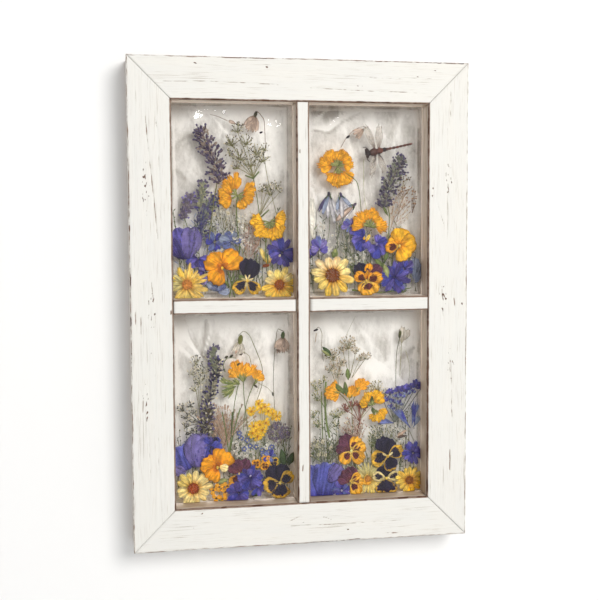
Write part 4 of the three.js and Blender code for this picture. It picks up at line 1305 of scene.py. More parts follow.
def specimen(layer=None, materials=None):
    """Presses what a function lays on a sheet, between the halves of the light that its name starts with.

    The piece takes the place of the CAD node of the function's name. Where there is none, or where a
    layer is given, it lies on that layer, counted from the front one.
    """
    def press(lay):
        sheet = Sheet()
        lay(sheet)
        node = lay.__name__
        place = "_".join(node.split("_")[:2])
        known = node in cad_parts
        depth = middle_y(node) if layer is None else LAYER_Y + layer * LAYER_PITCH
        centre = opening_centre(place)
        points = np.concatenate(sheet.points) + (centre[0], depth, centre[1])
        low, high = box(f"resin_front_{place}")[0], box(f"resin_back_{place}")[1]
        for side in (0, 2):
            points[:, side] = np.clip(points[:, side], low[side] + RESIN_COVER, high[side] - RESIN_COVER)
        faces = [tuple(face) for part in sheet.faces for face in part.tolist()]
        return new_piece(node + "_pressed", points, faces, {
            "body": np.concatenate(sheet.body), "marked": np.concatenate(sheet.marked),
            "field": np.concatenate(sheet.field),
        }, materials or FLOWER_MATERIALS, [node] if known else [], np.concatenate(sheet.slots))
    return press


# ---- top left light ----

@specimen()
def top_left_lavender(sheet):
    spike(sheet, [(-28, 64.5), (-22.4, 50.1), (-15.5, 34), (-12, 16.9)], 31,
          [rgb(92, 78, 98), rgb(118, 104, 110), rgb(150, 134, 120), rgb(66, 54, 78)], [DUSK, FADED, DUSK])
    stem(sheet, [(-14.1, 17.9), (-18.1, -3.9), (-22.3, -37.1)], 1.0, OLIVE, 0.2)


@specimen()
def top_left_umbel(sheet):
    umbel(sheet, (20.4, 22.6), [(-0.3, 56.7, 13, 26), (5.5, 69, 12, 20), (14, 57.7, 12, 22),
                                (8.1, 43.5, 14, 28), (-2.3, 46.3, 9, 12), (23.5, 48.2, 13, 26),
                                (30.1, 41.6, 12, 22), (17.6, 36.8, 12, 22), (31.2, 51.1, 9, 12),
                                (4.2, 34, 10, 16)], 0.7, OLIVE,
          [rgb(140, 130, 102), rgb(106, 96, 74), rgb(206, 196, 166), rgb(78, 68, 54)])
    umbel(sheet, (26.7, -13.3), [(28.9, 12.2, 9, 14), (36.5, 8.4, 9, 16), (43.2, 15.1, 10, 18),
                                 (34.7, 16, 8, 12), (46.1, 10.3, 6, 8)], 0.6, OLIVE,
          [rgb(132, 124, 98), rgb(88, 78, 62), CREAM])
    stem(sheet, [(20.4, 22.6), (24, 2.8), (26.7, -15.2)], 0.9, GREEN)
    stem(sheet, [(31.1, 42.5), (33.8, 24.5), (39.3, 0.9), (44.8, -20)], 0.6, OLIVE)
    for line in ([(12.7, 24.5), (20.4, 21.7)], [(26.2, 28.3), (20.4, 21.7)], [(18.1, -16.7), (27.7, -15.2)],
                 [(35.4, -8.1), (27.7, -15.2)]):
        stem(sheet, line, 1.3, GREEN, -0.1, taper=1.3)


@specimen()
def top_left_nodding_bells(sheet):
    bell(sheet, 22.8, 81.4, -110, 17, 13, SHEER_PINK, rgb(66, 60, 40))
    blob(sheet, 6.5, 72.4, 165, 5.0, 2.4, rgb(52, 44, 36), -0.2, STALK_SLOT)
    petal(sheet, 4.5, 73, 158, 8, 3.4, SHEER_PINK, RAY, 0.0, SHEER_SLOT)
    stem(sheet, [(-3, 75.6), (-12, 79.5), (-20, 81.6)], 0.5, BROWN)
    blob(sheet, 28.4, 65.3, 20, 3.4, 2.0, INK)
    petal(sheet, 19.9, 78.5, -80, 12, 5, SHEER_PINK, SHEER, 0.0, SHEER_SLOT)
    stem(sheet, [(24.8, 85.2), (30.5, 78.5), (32.2, 63.4), (32.1, 46.3)], 0.6, BROWN)


@specimen()
def top_left_yellow_cluster_upper(sheet):
    head(sheet, 4.9, 5.6, [172, 205, 138, 104, 24, -10, -40, -66], 6.0, 12.5, 11, AMBER)
    stem(sheet, [(4.9, 5.6), (3.8, -10.5), (5.5, -35.2)], 1.2, GREEN)


@specimen()
def top_left_yellow_cluster_lower(sheet):
    head(sheet, 35.6, -20, [172, 198, 226, 258, 290, 322, 352, 20], 5.5, 12, 10.5, YELLOW)
    stem(sheet, [(34.3, -21.9), (32.2, -37), (31.1, -57.9)], 1.1, GREEN, 0.3)


@specimen()
def top_left_purple_petals(sheet):
    petal(sheet, -46.3, -55.1, 96, 31, 28, VIOLET, GREAT, 0.1, VELVET_SLOT)
    petal(sheet, -42.4, -54.2, 80, 31, 22, SHEER_VIOLET, GREAT, -0.1, SHEER_SLOT)
    petal(sheet, -50.1, -54.1, 118, 22, 14, DARK_VIOLET, ROUND, -0.2, VELVET_SLOT)
    ragged(sheet, -32.9, -54.1, 6, 11, 9, [DARK_VIOLET, INDIGO, VIOLET], 160, 220, ROUND, VELVET_SLOT)
    ragged(sheet, -26.4, -67.4, 5, 10, 7, [DARK_VIOLET, SHEER_VIOLET], 60, 320, ROUND, VELVET_SLOT)


@specimen()
def top_left_orange_viola(sheet):
    viola(sheet, -10.1, -63.6, [(84, 15, 20, ORANGE), (40, 21, 25, ORANGE), (146, 18, 21, ORANGE),
                                (236, 17, 20, ORANGE)], rgb(250, 206, 70), PETAL_SLOT, BROAD)


@specimen()
def top_left_dark_pansy(sheet):
    viola(sheet, 13.7, -75.9, [(88, 21, 17, BLACK), (66, 20, 16, BLACK), (150, 9, 5, LEAVES),
                               (220, 16, 14, RIMMED), (-46, 15.5, 13, RIMMED)])
    for lean in (20, 66, 110, 156, 250):
        petal(sheet, 13.7, -75.9, lean, 6.5, 1.8, CREAM_EYE, RAY, -0.6)


@specimen()
def top_left_blue_delphinium(sheet):
    ragged(sheet, 47.4, -49.3, 15, 13.5, 6.4, [DARK_VIOLET, INDIGO, VIOLET])
    blob(sheet, 45.5, -52.2, 60, 3, 2.4, CREAM, -0.4)


@specimen()
def top_left_yellow_daisy(sheet):
    daisy(sheet, 44.8, -80.2, 12, 17.5, 6.8, 70, [LEMON, PALE_SUN, SUN, SUN, SUN, SUN, PALE_SUN],
          [rgb(196, 104, 24), rgb(142, 74, 22)], 5.2)


@specimen()
def top_left_gold_aster(sheet):
    daisy(sheet, -43.7, -78.8, 24, 19, 3.6, 40, [STRAW, ASTER, LEMON, STRAW],
          [DISC_GOLD, rgb(214, 138, 70)], 5.0, 0.22)
    daisy(sheet, -44.7, -80.7, 9, 20, 5.5, 190, [STRAW, SUN], [DISC_GOLD, DISC_GOLD], 2.0)


@specimen(layer=3.5)
def top_left_small_lavender(sheet):
    spike(sheet, [(-40, 4.6), (-43, -6.8), (-47.9, -16.3)], 15, [GREY_VIOLET, rgb(124, 114, 122)],
          [DUSK, SHEER_VIOLET])
    spike(sheet, [(-27.5, 16), (-28.6, 4.6), (-31.5, -4.9)], 11, [GREY_GREEN, rgb(150, 150, 118)], [DUSK])
    spike(sheet, [(-18.1, 0.8), (-27.8, -12.4), (-30.9, -37.1)], 22,
          [rgb(76, 76, 112), rgb(100, 100, 122), GREY_GREEN], [DARK_VIOLET, DUSK])
    stem(sheet, [(-45.9, -14.4), (-38.5, -37.1)], 0.8, GREEN)


@specimen(layer=4.2)
def top_left_white_haze(sheet):
    puff(sheet, -10.5, -4.9, 26, 32, 120, [CREAM, rgb(120, 118, 96), rgb(84, 82, 66), rgb(172, 170, 140)],
         (-6.1, -46.5))
    puff(sheet, 3.7, -22.8, 22, 26, 70, [CREAM, rgb(140, 130, 110), rgb(110, 100, 84)], (5.3, -57.9))
    puff(sheet, 16.9, -37, 20, 34, 110, [PINKISH, rgb(206, 186, 176), rgb(136, 104, 92)], (14.8, -63.6),
         stalk=PINKISH)
    puff(sheet, -21.2, -29.5, 22, 24, 60, [GREY_GREEN, rgb(90, 92, 84), BLUE_VIOLET], (-17.7, -57.9))
    for x, z in ((-15.2, 3.7), (-9.5, -6.8), (-17.2, -12.4), (-3.8, -11.5), (5.6, -19.1), (-1.2, -29.5)):
        tiny_flower(sheet, x, z, 2.2, CREAMY, OLIVE, -0.2)
    lace(sheet, 12, -26, 24, 36, 60, WHITE)
    lace(sheet, -16, -2, 22, 24, 36, WHITE)
    lace(sheet, -8, -52, 26, 14, 14, WHITE)


@specimen(layer=3.9)
def top_left_pale_blue_petals(sheet):
    ragged(sheet, -1.2, -38.9, 6, 12, 9, [SKY, SHEER_BLUE], 20, 300, ROUND, SHEER_SLOT)
    ragged(sheet, -17.5, -39, 6, 9, 7, [SKY, INDIGO], 0, 360, ROUND, VELVET_SLOT)
    ragged(sheet, -15.1, -86.3, 5, 12, 8, [SHEER_BLUE, SKY], 10, 170, ROUND, SHEER_SLOT)


@specimen(layer=2.6)
def top_left_small_leaves(sheet):
    petal(sheet, 33, -59.8, 112, 17, 4.6, LEMON, RAY, 0.1)
    petal(sheet, 34.9, -59.8, 74, 16, 5.0, PALE_SUN, RAY, 0.0)
    leaf(sheet, 33.9, -61.7, 92, 12, 3.6, LEAVES, 0.2)
    blob(sheet, 32, -61.7, 10, 7, 4, rgb(140, 70, 30), -0.2)
    for line in ([(-4.4, -67.4), (-1.6, -79.7), (-3.7, -92.9)], [(1.3, -71.2), (-0.7, -82.5), (2.1, -92.9)],
                 [(7.3, -42.7), (4.3, -57.9), (-1.6, -74.9)]):
        stem(sheet, line, 1.4, GREEN)
    leaf(sheet, -0.7, -84.4, 60, 12, 3.2, LEAVES, 0.1)
    leaf(sheet, -2.6, -82.5, 128, 11, 3.0, LEAVES, 0.2)
    leaf(sheet, 6, -82.5, 80, 12, 3.4, LIGHT_LEAF, 0.2)


@specimen(layer=4.8)
def top_left_undergrowth(sheet):
    thicket(sheet, -6, 46, [LEAVES, DARK_LEAF, SHEER_BLUE])


# ---- top right light ----

def wing(sheet, x, z, lean, long, wide, lift, vein):
    """A clear wing with its veins and the dark spot near its tip."""
    petal(sheet, x, z, lean, long, wide, GLASSY, SHEER, lift, WING_SLOT, 0.1, 0.4)
    cos, sin = towards(lean)
    along, across = np.array([cos, sin]), np.array([-sin, cos])
    root = np.array([x, z])
    for side in (-0.42, -0.26, -0.1, 0.08, 0.24, 0.4):
        middle = root + along * long * 0.5 + across * side * wide * 0.9
        end = root + along * long * (0.95 - abs(side) * 0.4) + across * side * wide * 0.7
        stem(sheet, [root, middle, end], 0.36, vein, lift, CHITIN_SLOT)
    tip = root + along * long * 0.86 - across * wide * 0.3
    blob(sheet, *tip, lean, 2.4, 1.0, vein, lift - 0.1, CHITIN_SLOT)


@specimen()
def top_right_yellow_ring(sheet):
    head(sheet, -25.6, 33.4, [172, 150, 122, 96, 70, 44, 16, 238, 262, 290, 312], 6.2, 12, 10.5, AMBER)
    stem(sheet, [(-23.1, 30.1), (-14, 24.7), (-7, 19.4), (-4, 7.7), (-2, -12.7)], 0.9, GREEN)


@specimen(materials=[CHITIN, WING])
def top_right_dragonfly(sheet):
    """Head, thorax, a thin ringed abdomen, six legs and four clear veined wings."""
    brown, dark, red = rgb(84, 54, 46), rgb(44, 30, 30), rgb(104, 56, 44)
    for (x, z), lean, long, wide, shade in (
            ((4.6, 46.4), 200, 6.0, 7.0, dark), ((10.4, 47.4), 15, 9.0, 8.2, brown),
            ((16.4, 48.8), 15, 7.6, 6.4, red), ((21.0, 50), 14, 5.4, 4.4, dark)):
        blob(sheet, x, z, lean, long, wide, shade, -0.1, CHITIN_SLOT, 0.5)
    for x, z in ((2.9, 49.2), (4.1, 43.6)):
        blob(sheet, x, z, 100, 4.0, 3.2, rgb(48, 28, 24), -0.5, CHITIN_SLOT, 0.7)
    for x, z, lean in ((8.6, 49.4, 60), (11.4, 45.2, -40), (13.4, 49.9, 30), (15.4, 46.9, -20)):
        blob(sheet, x, z, lean, 3.6, 1.7, dark, -0.7, CHITIN_SLOT, 0.6)
    rings = curve_points([(21.1, 50), (34.2, 52.8), (47.2, 55.8)], 3.1)
    for i, (x, z) in enumerate(rings):
        blob(sheet, x, z, 13, 4.2, 3.2 - 0.12 * i, brown if i % 2 else rgb(104, 58, 46), 0, CHITIN_SLOT, 0.7)
    for line in ([(7, 45.6), (4, 40.8), (7, 37.8)], [(11.1, 46.1), (12.1, 40.8), (10.1, 37.8)],
                 [(6, 48.5), (2, 52.4), (-0.5, 51.4)], [(13.1, 47.6), (18.1, 42.7), (20.1, 39.8)]):
        stem(sheet, line, 0.9, dark, 0.1, CHITIN_SLOT, step=1.2)
    wings = (((12.1, 49.5), 114, 27, 7, 0.3), ((15.1, 50), 88, 25, 8, 0.1),
             ((12.1, 46.6), -100, 24, 6.5, 0.35), ((15.1, 47.1), -72, 22, 7, 0.2))
    for (x, z), lean, long, wide, lift in wings:
        wing(sheet, x, z, lean, long, wide, lift, brown)


@specimen()
def top_right_lavender(sheet):
    spike(sheet, [(37.2, 38.8), (30.2, 22.3), (23.1, 2.9), (20.1, -6.8)], 28,
          [rgb(86, 80, 94), rgb(126, 120, 110), rgb(68, 60, 78), GREY_GREEN], [DUSK, FADED])
    stem(sheet, [(23.1, 1), (26.2, -13.6), (25.2, -37.9)], 1.1, GREEN, 0.2)
    leaf(sheet, 25.2, -14.6, 118, 12, 3.0, LEAVES, 0.1)


@specimen()
def top_right_yellow_fan(sheet):
    head(sheet, 6.1, -25.3, [160, 140, 118, 96, 74, 52, 28, 4], 6.5, 11.5, 9.5, AMBER)


@specimen()
def top_right_blue_viola(sheet):
    viola(sheet, 0.6, -36, [(120, 9, 10, INDIGO), (160, 11, 11, INDIGO), (200, 12, 12, VIOLET),
                            (245, 13, 12, INDIGO), (292, 10, 10, VIOLET)], rgb(236, 180, 60))
    petal(sheet, 2.1, -39.9, 60, 9, 3.6, SUN, RAY, -0.5)


@specimen()
def top_right_yellow_viola(sheet):
    viola(sheet, 36.2, -43.7, [(150, 12, 13, AMBER), (82, 17, 22, YELLOW), (14, 17, 21, YELLOW),
                               (-64, 15, 19, YELLOW), (188, 14, 12, ORANGE_SPOT)],
          rgb(236, 214, 120), PETAL_SLOT)


@specimen()
def top_right_pale_daisy(sheet):
    daisy(sheet, -31.1, -71.7, 12, 21, 8.6, 15,
          [PALE_SUN, BLUSH, BLUSH, BLUSH, PALE_SUN, LEMON, SUN, STRAW, SUN, STRAW],
          [rgb(180, 88, 22), rgb(126, 54, 14)], 7.6)


@specimen()
def top_right_dark_pansy(sheet):
    viola(sheet, 3.1, -77.7, [(118, 19, 15, BLACK), (48, 20, 15, WINE), (80, 17, 9, ORANGE),
                              (150, 13, 12, ORANGE_SPOT), (16, 16, 13, ORANGE_SPOT),
                              (-118, 12, 12, WINE_GOLD), (-70, 14, 22, WINE_GOLD)])


@specimen()
def top_right_blue_delphinium(sheet):
    ragged(sheet, 31.2, -74.8, 20, 15, 6.2, [INDIGO, DARK_VIOLET, VIOLET])
    ragged(sheet, 41.3, -66.1, 8, 10, 5, [DARK_VIOLET, INDIGO, SHEER_VIOLET], -20, 190)
    leaf(sheet, 19.2, -65.1, 128, 12, 6, LEAVES, -0.2)
    leaf(sheet, 25.2, -74.8, 108, 14, 6.5, LIGHT_LEAF, -0.4)
    leaf(sheet, 21.2, -59.3, 70, 11, 5, LEAVES, -0.1)


@specimen(layer=3.4)
def top_right_nodding_bud(sheet):
    stem(sheet, [(-22.1, 51.4), (-17.1, 60.2), (-8, 69.4), (3, 71.8), (7, 61.1)], 0.5, BROWN)
    bell(sheet, 1, 69.9, 215, 13, 6, SHEER_PINK, rgb(120, 92, 70), 3.0, 2.2)
    blob(sheet, -15.1, 62.1, 215, 4.6, 2.4, INK, -0.2)
    stem(sheet, [(0.8, 40.7), (0.6, 20.4), (1.6, 0.9), (5.1, -10.7)], 0.5, PALE_GREEN)


@specimen(layer=4.3)
def top_right_seed_heads(sheet):
    for line in ([(40.2, 10.7), (41.2, 19.4), (48.2, 22.3)],
                 [(29.2, -12.6), (34.2, 4.8), (42.2, 10.7), (48.2, 12.6)],
                 [(34.2, -20.4), (37.2, -6.8), (41.2, 6.8)], [(27.2, -30.1), (33.2, -14.6), (49.3, 1)]):
        stem(sheet, line, 0.5, BROWN)
    puff(sheet, 43.2, 22.3, 12, 6, 16, [rgb(74, 52, 36), BROWN], (34.2, 2.9), size=1.7)
    puff(sheet, 43.2, 11.6, 18, 9, 36, [BROWN, BEIGE, rgb(150, 112, 76)], (31.2, -10.7), size=1.4,
         stalk=BROWN)
    puff(sheet, 37.2, -6.8, 24, 30, 110, [BEIGE, PINKISH, rgb(150, 120, 96), CREAM], (27.2, -30.1),
         stalk=BEIGE)
    puff(sheet, 52.3, 3.9, 6, 16, 26, [rgb(180, 132, 84), BROWN], (49.3, -14.6), stalk=BROWN)


@specimen(layer=2.4)
def top_right_violet_bells(sheet):
    hanging(sheet, -34.3, 6.8, (-122, -108, -92, -78, -64), (20, 21, 24, 30, 26), 4.6,
            [FADED, SHEER_BLUE, SHEER_WHITE, SHEER_WHITE, SHEER_WHITE], rgb(58, 52, 66))
    hanging(sheet, -22.4, 6.4, (-104, -86, -66, -48), (16, 24, 22, 17), 4.4,
            [SHEER_BLUE, SHEER_WHITE, SHEER_WHITE, SHEER_BLUE], rgb(66, 60, 86))
    hanging(sheet, -8.6, -3.2, (232, 220, 208), (17, 25, 20), 5.0, [SHEER_WHITE, SHEER_PINK, SHEER_WHITE],
            rgb(84, 72, 88))
    ragged(sheet, -13, -23.3, 9, 8, 4.6, [SKY, VIOLET, SHEER_VIOLET])
    for line in ([(-32.1, 8.7), (-33.1, -8.8), (-34.1, -30.2), (-38.1, -47.6)],
                 [(-24.1, 8.7), (-27.1, -12.7), (-25.1, -43.8)],
                 [(-8, -3), (-18, -12.7), (-25.1, -34), (-26.1, -49.6)],
                 [(-13, -24.3), (-17, -37.9), (-13, -53.5)], [(3.1, -30.1), (-0.9, -49.6), (-0.9, -65.1)],
                 [(15.1, -47.6), (11.1, -59.3), (7.1, -70.9)]):
        stem(sheet, line, 0.9, GREY_GREEN, 0.3)


@specimen(layer=1.9)
def top_right_violet_viola(sheet):
    viola(sheet, 13.1, -41.8, [(70, 9, 9, VIOLET), (20, 11, 10, INDIGO), (-40, 13, 12, VIOLET),
                               (-92, 14, 12, INDIGO), (-140, 10, 9, VIOLET)], rgb(150, 140, 190))
    ragged(sheet, -44.1, -46.7, 5, 11, 8, [VIOLET, SHEER_VIOLET, SKY], 10, 190)
    ragged(sheet, -51.2, -53.5, 3, 9, 6, [DARK_VIOLET, VIOLET], 60, 160)
    leaf(sheet, -31.1, -54.4, 60, 9, 6, LEAVES, -0.1)
    leaf(sheet, -27.1, -55.4, 100, 10, 6, LIGHT_LEAF, 0.0)


@specimen(layer=4.4)
def top_right_grey_haze(sheet):
    puff(sheet, -18, -30.2, 22, 34, 80, [GREY_GREEN, CREAM, rgb(110, 112, 104)], (-17, -59.3),
         stalk=GREY_GREEN)
    puff(sheet, -6, -59.3, 22, 18, 50, [GREEN, GREY_GREEN, OLIVE], (-2.9, -78.7), stalk=GREEN)
    petal(sheet, 54.3, -80.6, 92, 26, 11, SHEER_BLUE, ROUND, 0.0, SHEER_SLOT)
    petal(sheet, 54.3, -80.6, 70, 22, 8, SHEER_BLUE, RAY, -0.2, SHEER_SLOT)
    for line in ([(-11, -86.5), (17.2, -89.4), (49.3, -85.5)], [(21.2, -59.3), (16.1, -72.9), (7.1, -88.4)]):
        stem(sheet, line, 1.4, GREEN)
    ragged(sheet, 35.2, -88.4, 6, 12, 6, [LEAVES, SHEER_BLUE], 0, 180, RAY, SHEER_SLOT)
    lace(sheet, -36, -36, 26, 34, 34, WHITE)
    lace(sheet, -8, -56, 22, 22, 22, WHITE)
    # A long white sheer petal up the left side; it also stands for the white sheen on the resin there, a
    # painted highlight.
    petal(sheet, -49, -40, 92, 44, 9, WHITE, ROUND, 0.2, SHEER_SLOT)


@specimen(layer=4.8)
def top_right_undergrowth(sheet):
    thicket(sheet, -14, 43, [LEAVES, DARK_LEAF, SHEER_CREAM])


# ---- bottom left light ----

@specimen()
def bottom_left_lavender(sheet):
    spike(sheet, [(-18.8, 55.3), (-19.8, 45.6), (-17, 33.7)], 10, [GREY_GREEN, rgb(120, 124, 96)], [DUSK])
    spike(sheet, [(-16, 43.5), (-18, 29.9), (-23, 14.4), (-27.1, -5), (-28.2, -20.5), (-30.2, -30.2)], 19,
          [rgb(58, 52, 78), rgb(122, 118, 98), rgb(44, 40, 58), rgb(156, 150, 126)],
          [DARK_VIOLET, CREAMY, DUSK])
    spike(sheet, [(-25.1, -5), (-27.2, -16.7), (-29.3, -30.3)], 17, [rgb(84, 72, 48), rgb(70, 62, 46)],
          [DUSK])
    stem(sheet, [(-29.2, -28.3), (-30.4, -47.8)], 1.2, BROWN, 0.3)


@specimen()
def bottom_left_umbel(sheet):
    shades = [CREAM, rgb(96, 94, 80), rgb(64, 62, 56), rgb(220, 214, 196)]
    umbel(sheet, (-31.1, -22.4), [(-36.3, 44.2, 12, 22), (-29.6, 36.2, 11, 20), (-39.3, 34.6, 10, 16),
                                  (-32.6, 26.5, 12, 22), (-24.7, 45.7, 7, 8), (-36.6, 18.8, 10, 14)], 0.45,
          OLIVE, shades, 1.5)
    umbel(sheet, (-32, -16.5), [(-49.4, -0.2, 9, 16), (-42.5, 3.4, 8, 14), (-46.5, -8.1, 9, 14),
                                (-39.7, -3.5, 7, 10), (-46.6, -16.9, 8, 12), (-40.7, -12.3, 7, 10),
                                (-43.8, -22.9, 9, 14), (-38.9, -22.1, 6, 8)], 0.6, rgb(96, 94, 78), shades,
          1.5)


@specimen()
def bottom_left_nodding_bell(sheet):
    bell(sheet, 6.6, 63.1, -100, 15, 10, SHEER_CREAM, rgb(104, 106, 52), 9.5, 5.0)
    blob(sheet, 7.4, 49.9, 20, 3.0, 1.8, rgb(80, 66, 52), -0.3)
    stem(sheet, [(4.7, 68.1), (9.5, 72.3), (15.3, 68.6), (21.1, 55.7), (27.7, 36.9), (27.5, 20.3),
                 (22.5, 4.9)], 0.8, rgb(116, 118, 84))
    stem(sheet, [(9.4, 52.3), (15.2, 48.1), (18, 37.3), (24.6, 22.4), (22.6, 12.7)], 0.6, OLIVE)
    stem(sheet, [(23.7, 21.5), (33.3, 16.2), (38.1, 10.2)], 0.5, OLIVE)
    blob(sheet, 21.2, 18.6, -40, 5, 2.4, rgb(70, 62, 48))
    blob(sheet, 38.1, 10.2, -80, 4, 2.2, rgb(60, 54, 44))
    blob(sheet, 2.6, 52.5, 60, 4, 2.4, PINKISH)


@specimen()
def bottom_left_orange_cluster(sheet):
    head(sheet, 9.1, 23, [134, 112, 90, 70], 7, 12, 9, ORANGE_HEAD)
    head(sheet, 19.8, 20.6, [78, 58], 5, 11, 8.5, ORANGE_HEAD)
    for x, z, lean, long in ((2.3, 21.3, 172, 16), (2.3, 19.3, 196, 17), (0.3, 17.5, 222, 13),
                             (6.2, 21.1, 150, 10), (-7.4, 21.7, 130, 9), (-2.6, 14.6, 200, 11)):
        for turned in (-16, 0, 17):
            leaf(sheet, x, z, lean + turned, long * 0.9, 2.4, LIGHT_LEAF if turned else LEAVES, 0.3)
    for line in ([(9.1, 26.9), (9.9, 5.4), (13.5, -27)], [(5.2, 25.1), (0.2, 1.8), (-3, -29.3)],
                 [(19.8, 22.6), (11.8, 1.4), (8.7, -23.9)],
                 [(-8.3, 33.4), (-10.2, 40.3), (-6.2, 47), (2.5, 46.7)]):
        stem(sheet, line, 0.9, GREEN, 0.3)
    for x, z in ((-7.2, 48), (4.4, 40.7), (-2.3, 48.8)):
        blob(sheet, x, z, 30, 4, 2.4, rgb(70, 66, 48))


@specimen()
def bottom_left_tansy(sheet):
    root = (25.1, -33.3)
    for x, z in ((16.2, -5.6), (23.9, 1.9), (29.8, -1.7), (33.1, -5.8), (37.3, -8.3), (41.5, -11.4),
                 (18.6, -20.3), (24.6, -18.6), (30.5, -17.4), (17.7, -27.1), (22.7, -30.3), (27.1, -24.6),
                 (26.3, -3.1), (21.3, -24.3)):
        bend = ((x + root[0]) / 2 + 1.5, (z + root[1]) / 2)
        stem(sheet, [root, bend, (x, z)], 0.6, OLIVE, 0.3)
        lean = math.degrees(math.atan2(z - root[1], x - root[0]))
        for k in range(7):
            petal(sheet, x, z, lean + 52 * (k - 3), some(3.8, 2.2), 3.4, TANSY, FAN, 0.12 * (k % 3) - 0.2)
        for k in range(4):
            blob(sheet, x + sway(2), z + sway(2), 0, 1.4, 1.2, rgb(190, 118, 20), -0.4)


@specimen()
def bottom_left_dried_flower(sheet):
    foot = (-9.9, -38.8)
    for i in range(46):
        lean, long = some(42, 90), some(20, 20)
        angle = math.radians(lean)
        spot = (foot[0] + long * math.cos(angle), foot[1] + long * math.sin(angle))
        bend = (foot[0] + 0.4 * long * math.cos(angle) + 2 * CHANCE.random(),
                foot[1] + 0.55 * long * math.sin(angle))
        stem(sheet, [foot, bend, spot], 0.45, (PINKISH, BEIGE, BROWN)[i % 3],
             0.6 * CHANCE.random() - 0.3, PETAL_SLOT)
        petal(sheet, *spot, lean + sway(20), 5, 2.4, DRIED, FAN, -0.1, SHEER_SLOT)
    puff(sheet, -11.7, -17.3, 26, 36, 120, [PINKISH, BEIGE, rgb(150, 116, 92)], (-6.1, -44.8), stalk=PINKISH)
    lace(sheet, -12, -22, 24, 34, 40, DRIED)
    for line in ([(-11.5, -5.5), (-7.9, -27.2), (-5.1, -48.7)], [(-1.8, -5.9), (-3, -29.3), (-6.1, -50.7)],
                 [(6, -2.3), (-0.1, -23.5), (-5.1, -48.7)]):
        stem(sheet, line, 1.3, GREEN, -0.1)


@specimen()
def bottom_left_blue_petals(sheet):
    petal(sheet, -44, -60, 112, 26, 26, PERIWINKLE, GREAT, 0.2, VELVET_SLOT)
    petal(sheet, -37.2, -58.4, 86, 34, 29, SHEER_VIOLET, GREAT, 0.0, SHEER_SLOT)
    petal(sheet, -33.4, -56.6, 64, 30, 26, VIOLET, GREAT, 0.1, VELVET_SLOT)
    petal(sheet, -27.5, -51.8, 50, 22, 16, INDIGO, ROUND, -0.2, VELVET_SLOT)
    petal(sheet, -47, -62.8, 160, 12, 12, SHEER_VIOLET, ROUND, -0.2, SHEER_SLOT)
    ragged(sheet, -22.4, -37.3, 11, 10, 6.5, [DARK_VIOLET, INDIGO, BLACK], 0, 360, BROAD, VELVET_SLOT)


@specimen()
def bottom_left_orange_viola(sheet):
    viola(sheet, -16.9, -59, [(112, 14, 18, ORANGE), (58, 18, 25, ORANGE), (166, 16, 18, ORANGE),
                              (238, 14, 18, ORANGE)], rgb(252, 214, 90), PETAL_SLOT, BROAD)
    petal(sheet, -14.9, -58.1, -20, 9, 9, CREAM_EYE, ROUND, -0.4)


@specimen()
def bottom_left_burgundy_viola(sheet):
    viola(sheet, 4.4, -66.7, [(56, 16, 12, WINE), (98, 14, 12, WINE), (138, 14, 11, WINE), (22, 12, 9, WINE),
                             (232, 13, 11, ORANGE_SPOT), (-60, 9, 8, WINE_GOLD)], rgb(248, 226, 140))


@specimen()
def bottom_left_violet_flower(sheet):
    ragged(sheet, 15.1, -71, 14, 12.5, 6.4, [INDIGO, VIOLET, DARK_VIOLET])
    ragged(sheet, 3.3, -85.2, 16, 12.5, 6.4, [INDIGO, DARK_VIOLET, VIOLET], 20)
    ragged(sheet, 23.5, -80, 8, 9, 5, [DARK_VIOLET, INDIGO, VIOLET], 40)
    blob(sheet, 15.1, -69, 40, 2.6, 2.0, rgb(200, 196, 220), -0.6)


@specimen()
def bottom_left_yellow_pansy(sheet):
    viola(sheet, 44.1, -77, [(124, 19, 17, BLACK), (82, 18, 17, BLACK), (190, 16, 17, RIMMED),
                             (34, 15, 14, RIMMED), (-84, 14.5, 20, THIN_RIM)], rgb(240, 214, 110))


@specimen()
def bottom_left_yellow_daisy(sheet):
    daisy(sheet, -40.2, -78.3, 14, 18, 6.6, 4, [PALE_SUN, LEMON, PALE_SUN, PALE_SUN],
          [rgb(214, 96, 30), rgb(150, 62, 20)], 5.8)


@specimen(layer=3.2)
def bottom_left_nodding_bell_right(sheet):
    bell(sheet, 48.3, 66.4, -96, 17, 13, SHEER_PINK, rgb(74, 88, 52), 7.0, 4.4)
    blob(sheet, 43.8, 52.9, -30, 4, 2.4, rgb(90, 66, 52), -0.2)
    stem(sheet, [(49.4, 71.3), (43.6, 73.9), (41.5, 64.7), (39.4, 41.4), (38.7, 19.9), (39.9, -7.5)], 0.7,
         rgb(112, 110, 84))


@specimen(layer=2.6)
def bottom_left_forget_me_nots(sheet):
    puff(sheet, 43.6, -28.1, 22, 22, 110,
         [GREY_VIOLET, rgb(132, 116, 140), rgb(150, 136, 128), rgb(88, 80, 92)], (48.3, -50.8), size=1.8)
    puff(sheet, 21.2, -34.1, 34, 22, 110, [GREY_GREEN, CREAM, rgb(120, 122, 100)], (17.1, -61.3),
         stalk=GREEN)
    for x, z in ((4.8, -26.7), (6.7, -31.6), (12.5, -33.8), (15.3, -39.8), (26.9, -44.1), (31.8, -43.3),
                 (33.7, -46.3), (27.9, -49), (21.2, -40.9), (36.7, -41.5), (9.5, -42.5)):
        tiny_flower(sheet, x, z, 3.0, SKY, rgb(236, 220, 130), -0.2)
    for line in ([(5.7, -33.5), (1.6, -54.9)], [(27, -36.3), (20.9, -63.4)], [(48.4, -39), (52, -60.7)]):
        stem(sheet, line, 0.8, GREEN, 0.3)
    lace(sheet, 43, -28, 21, 20, 60, DUSK)
    lace(sheet, 8, -42, 24, 18, 44, WHITE)
    lace(sheet, 30, -36, 24, 14, 20, WHITE)


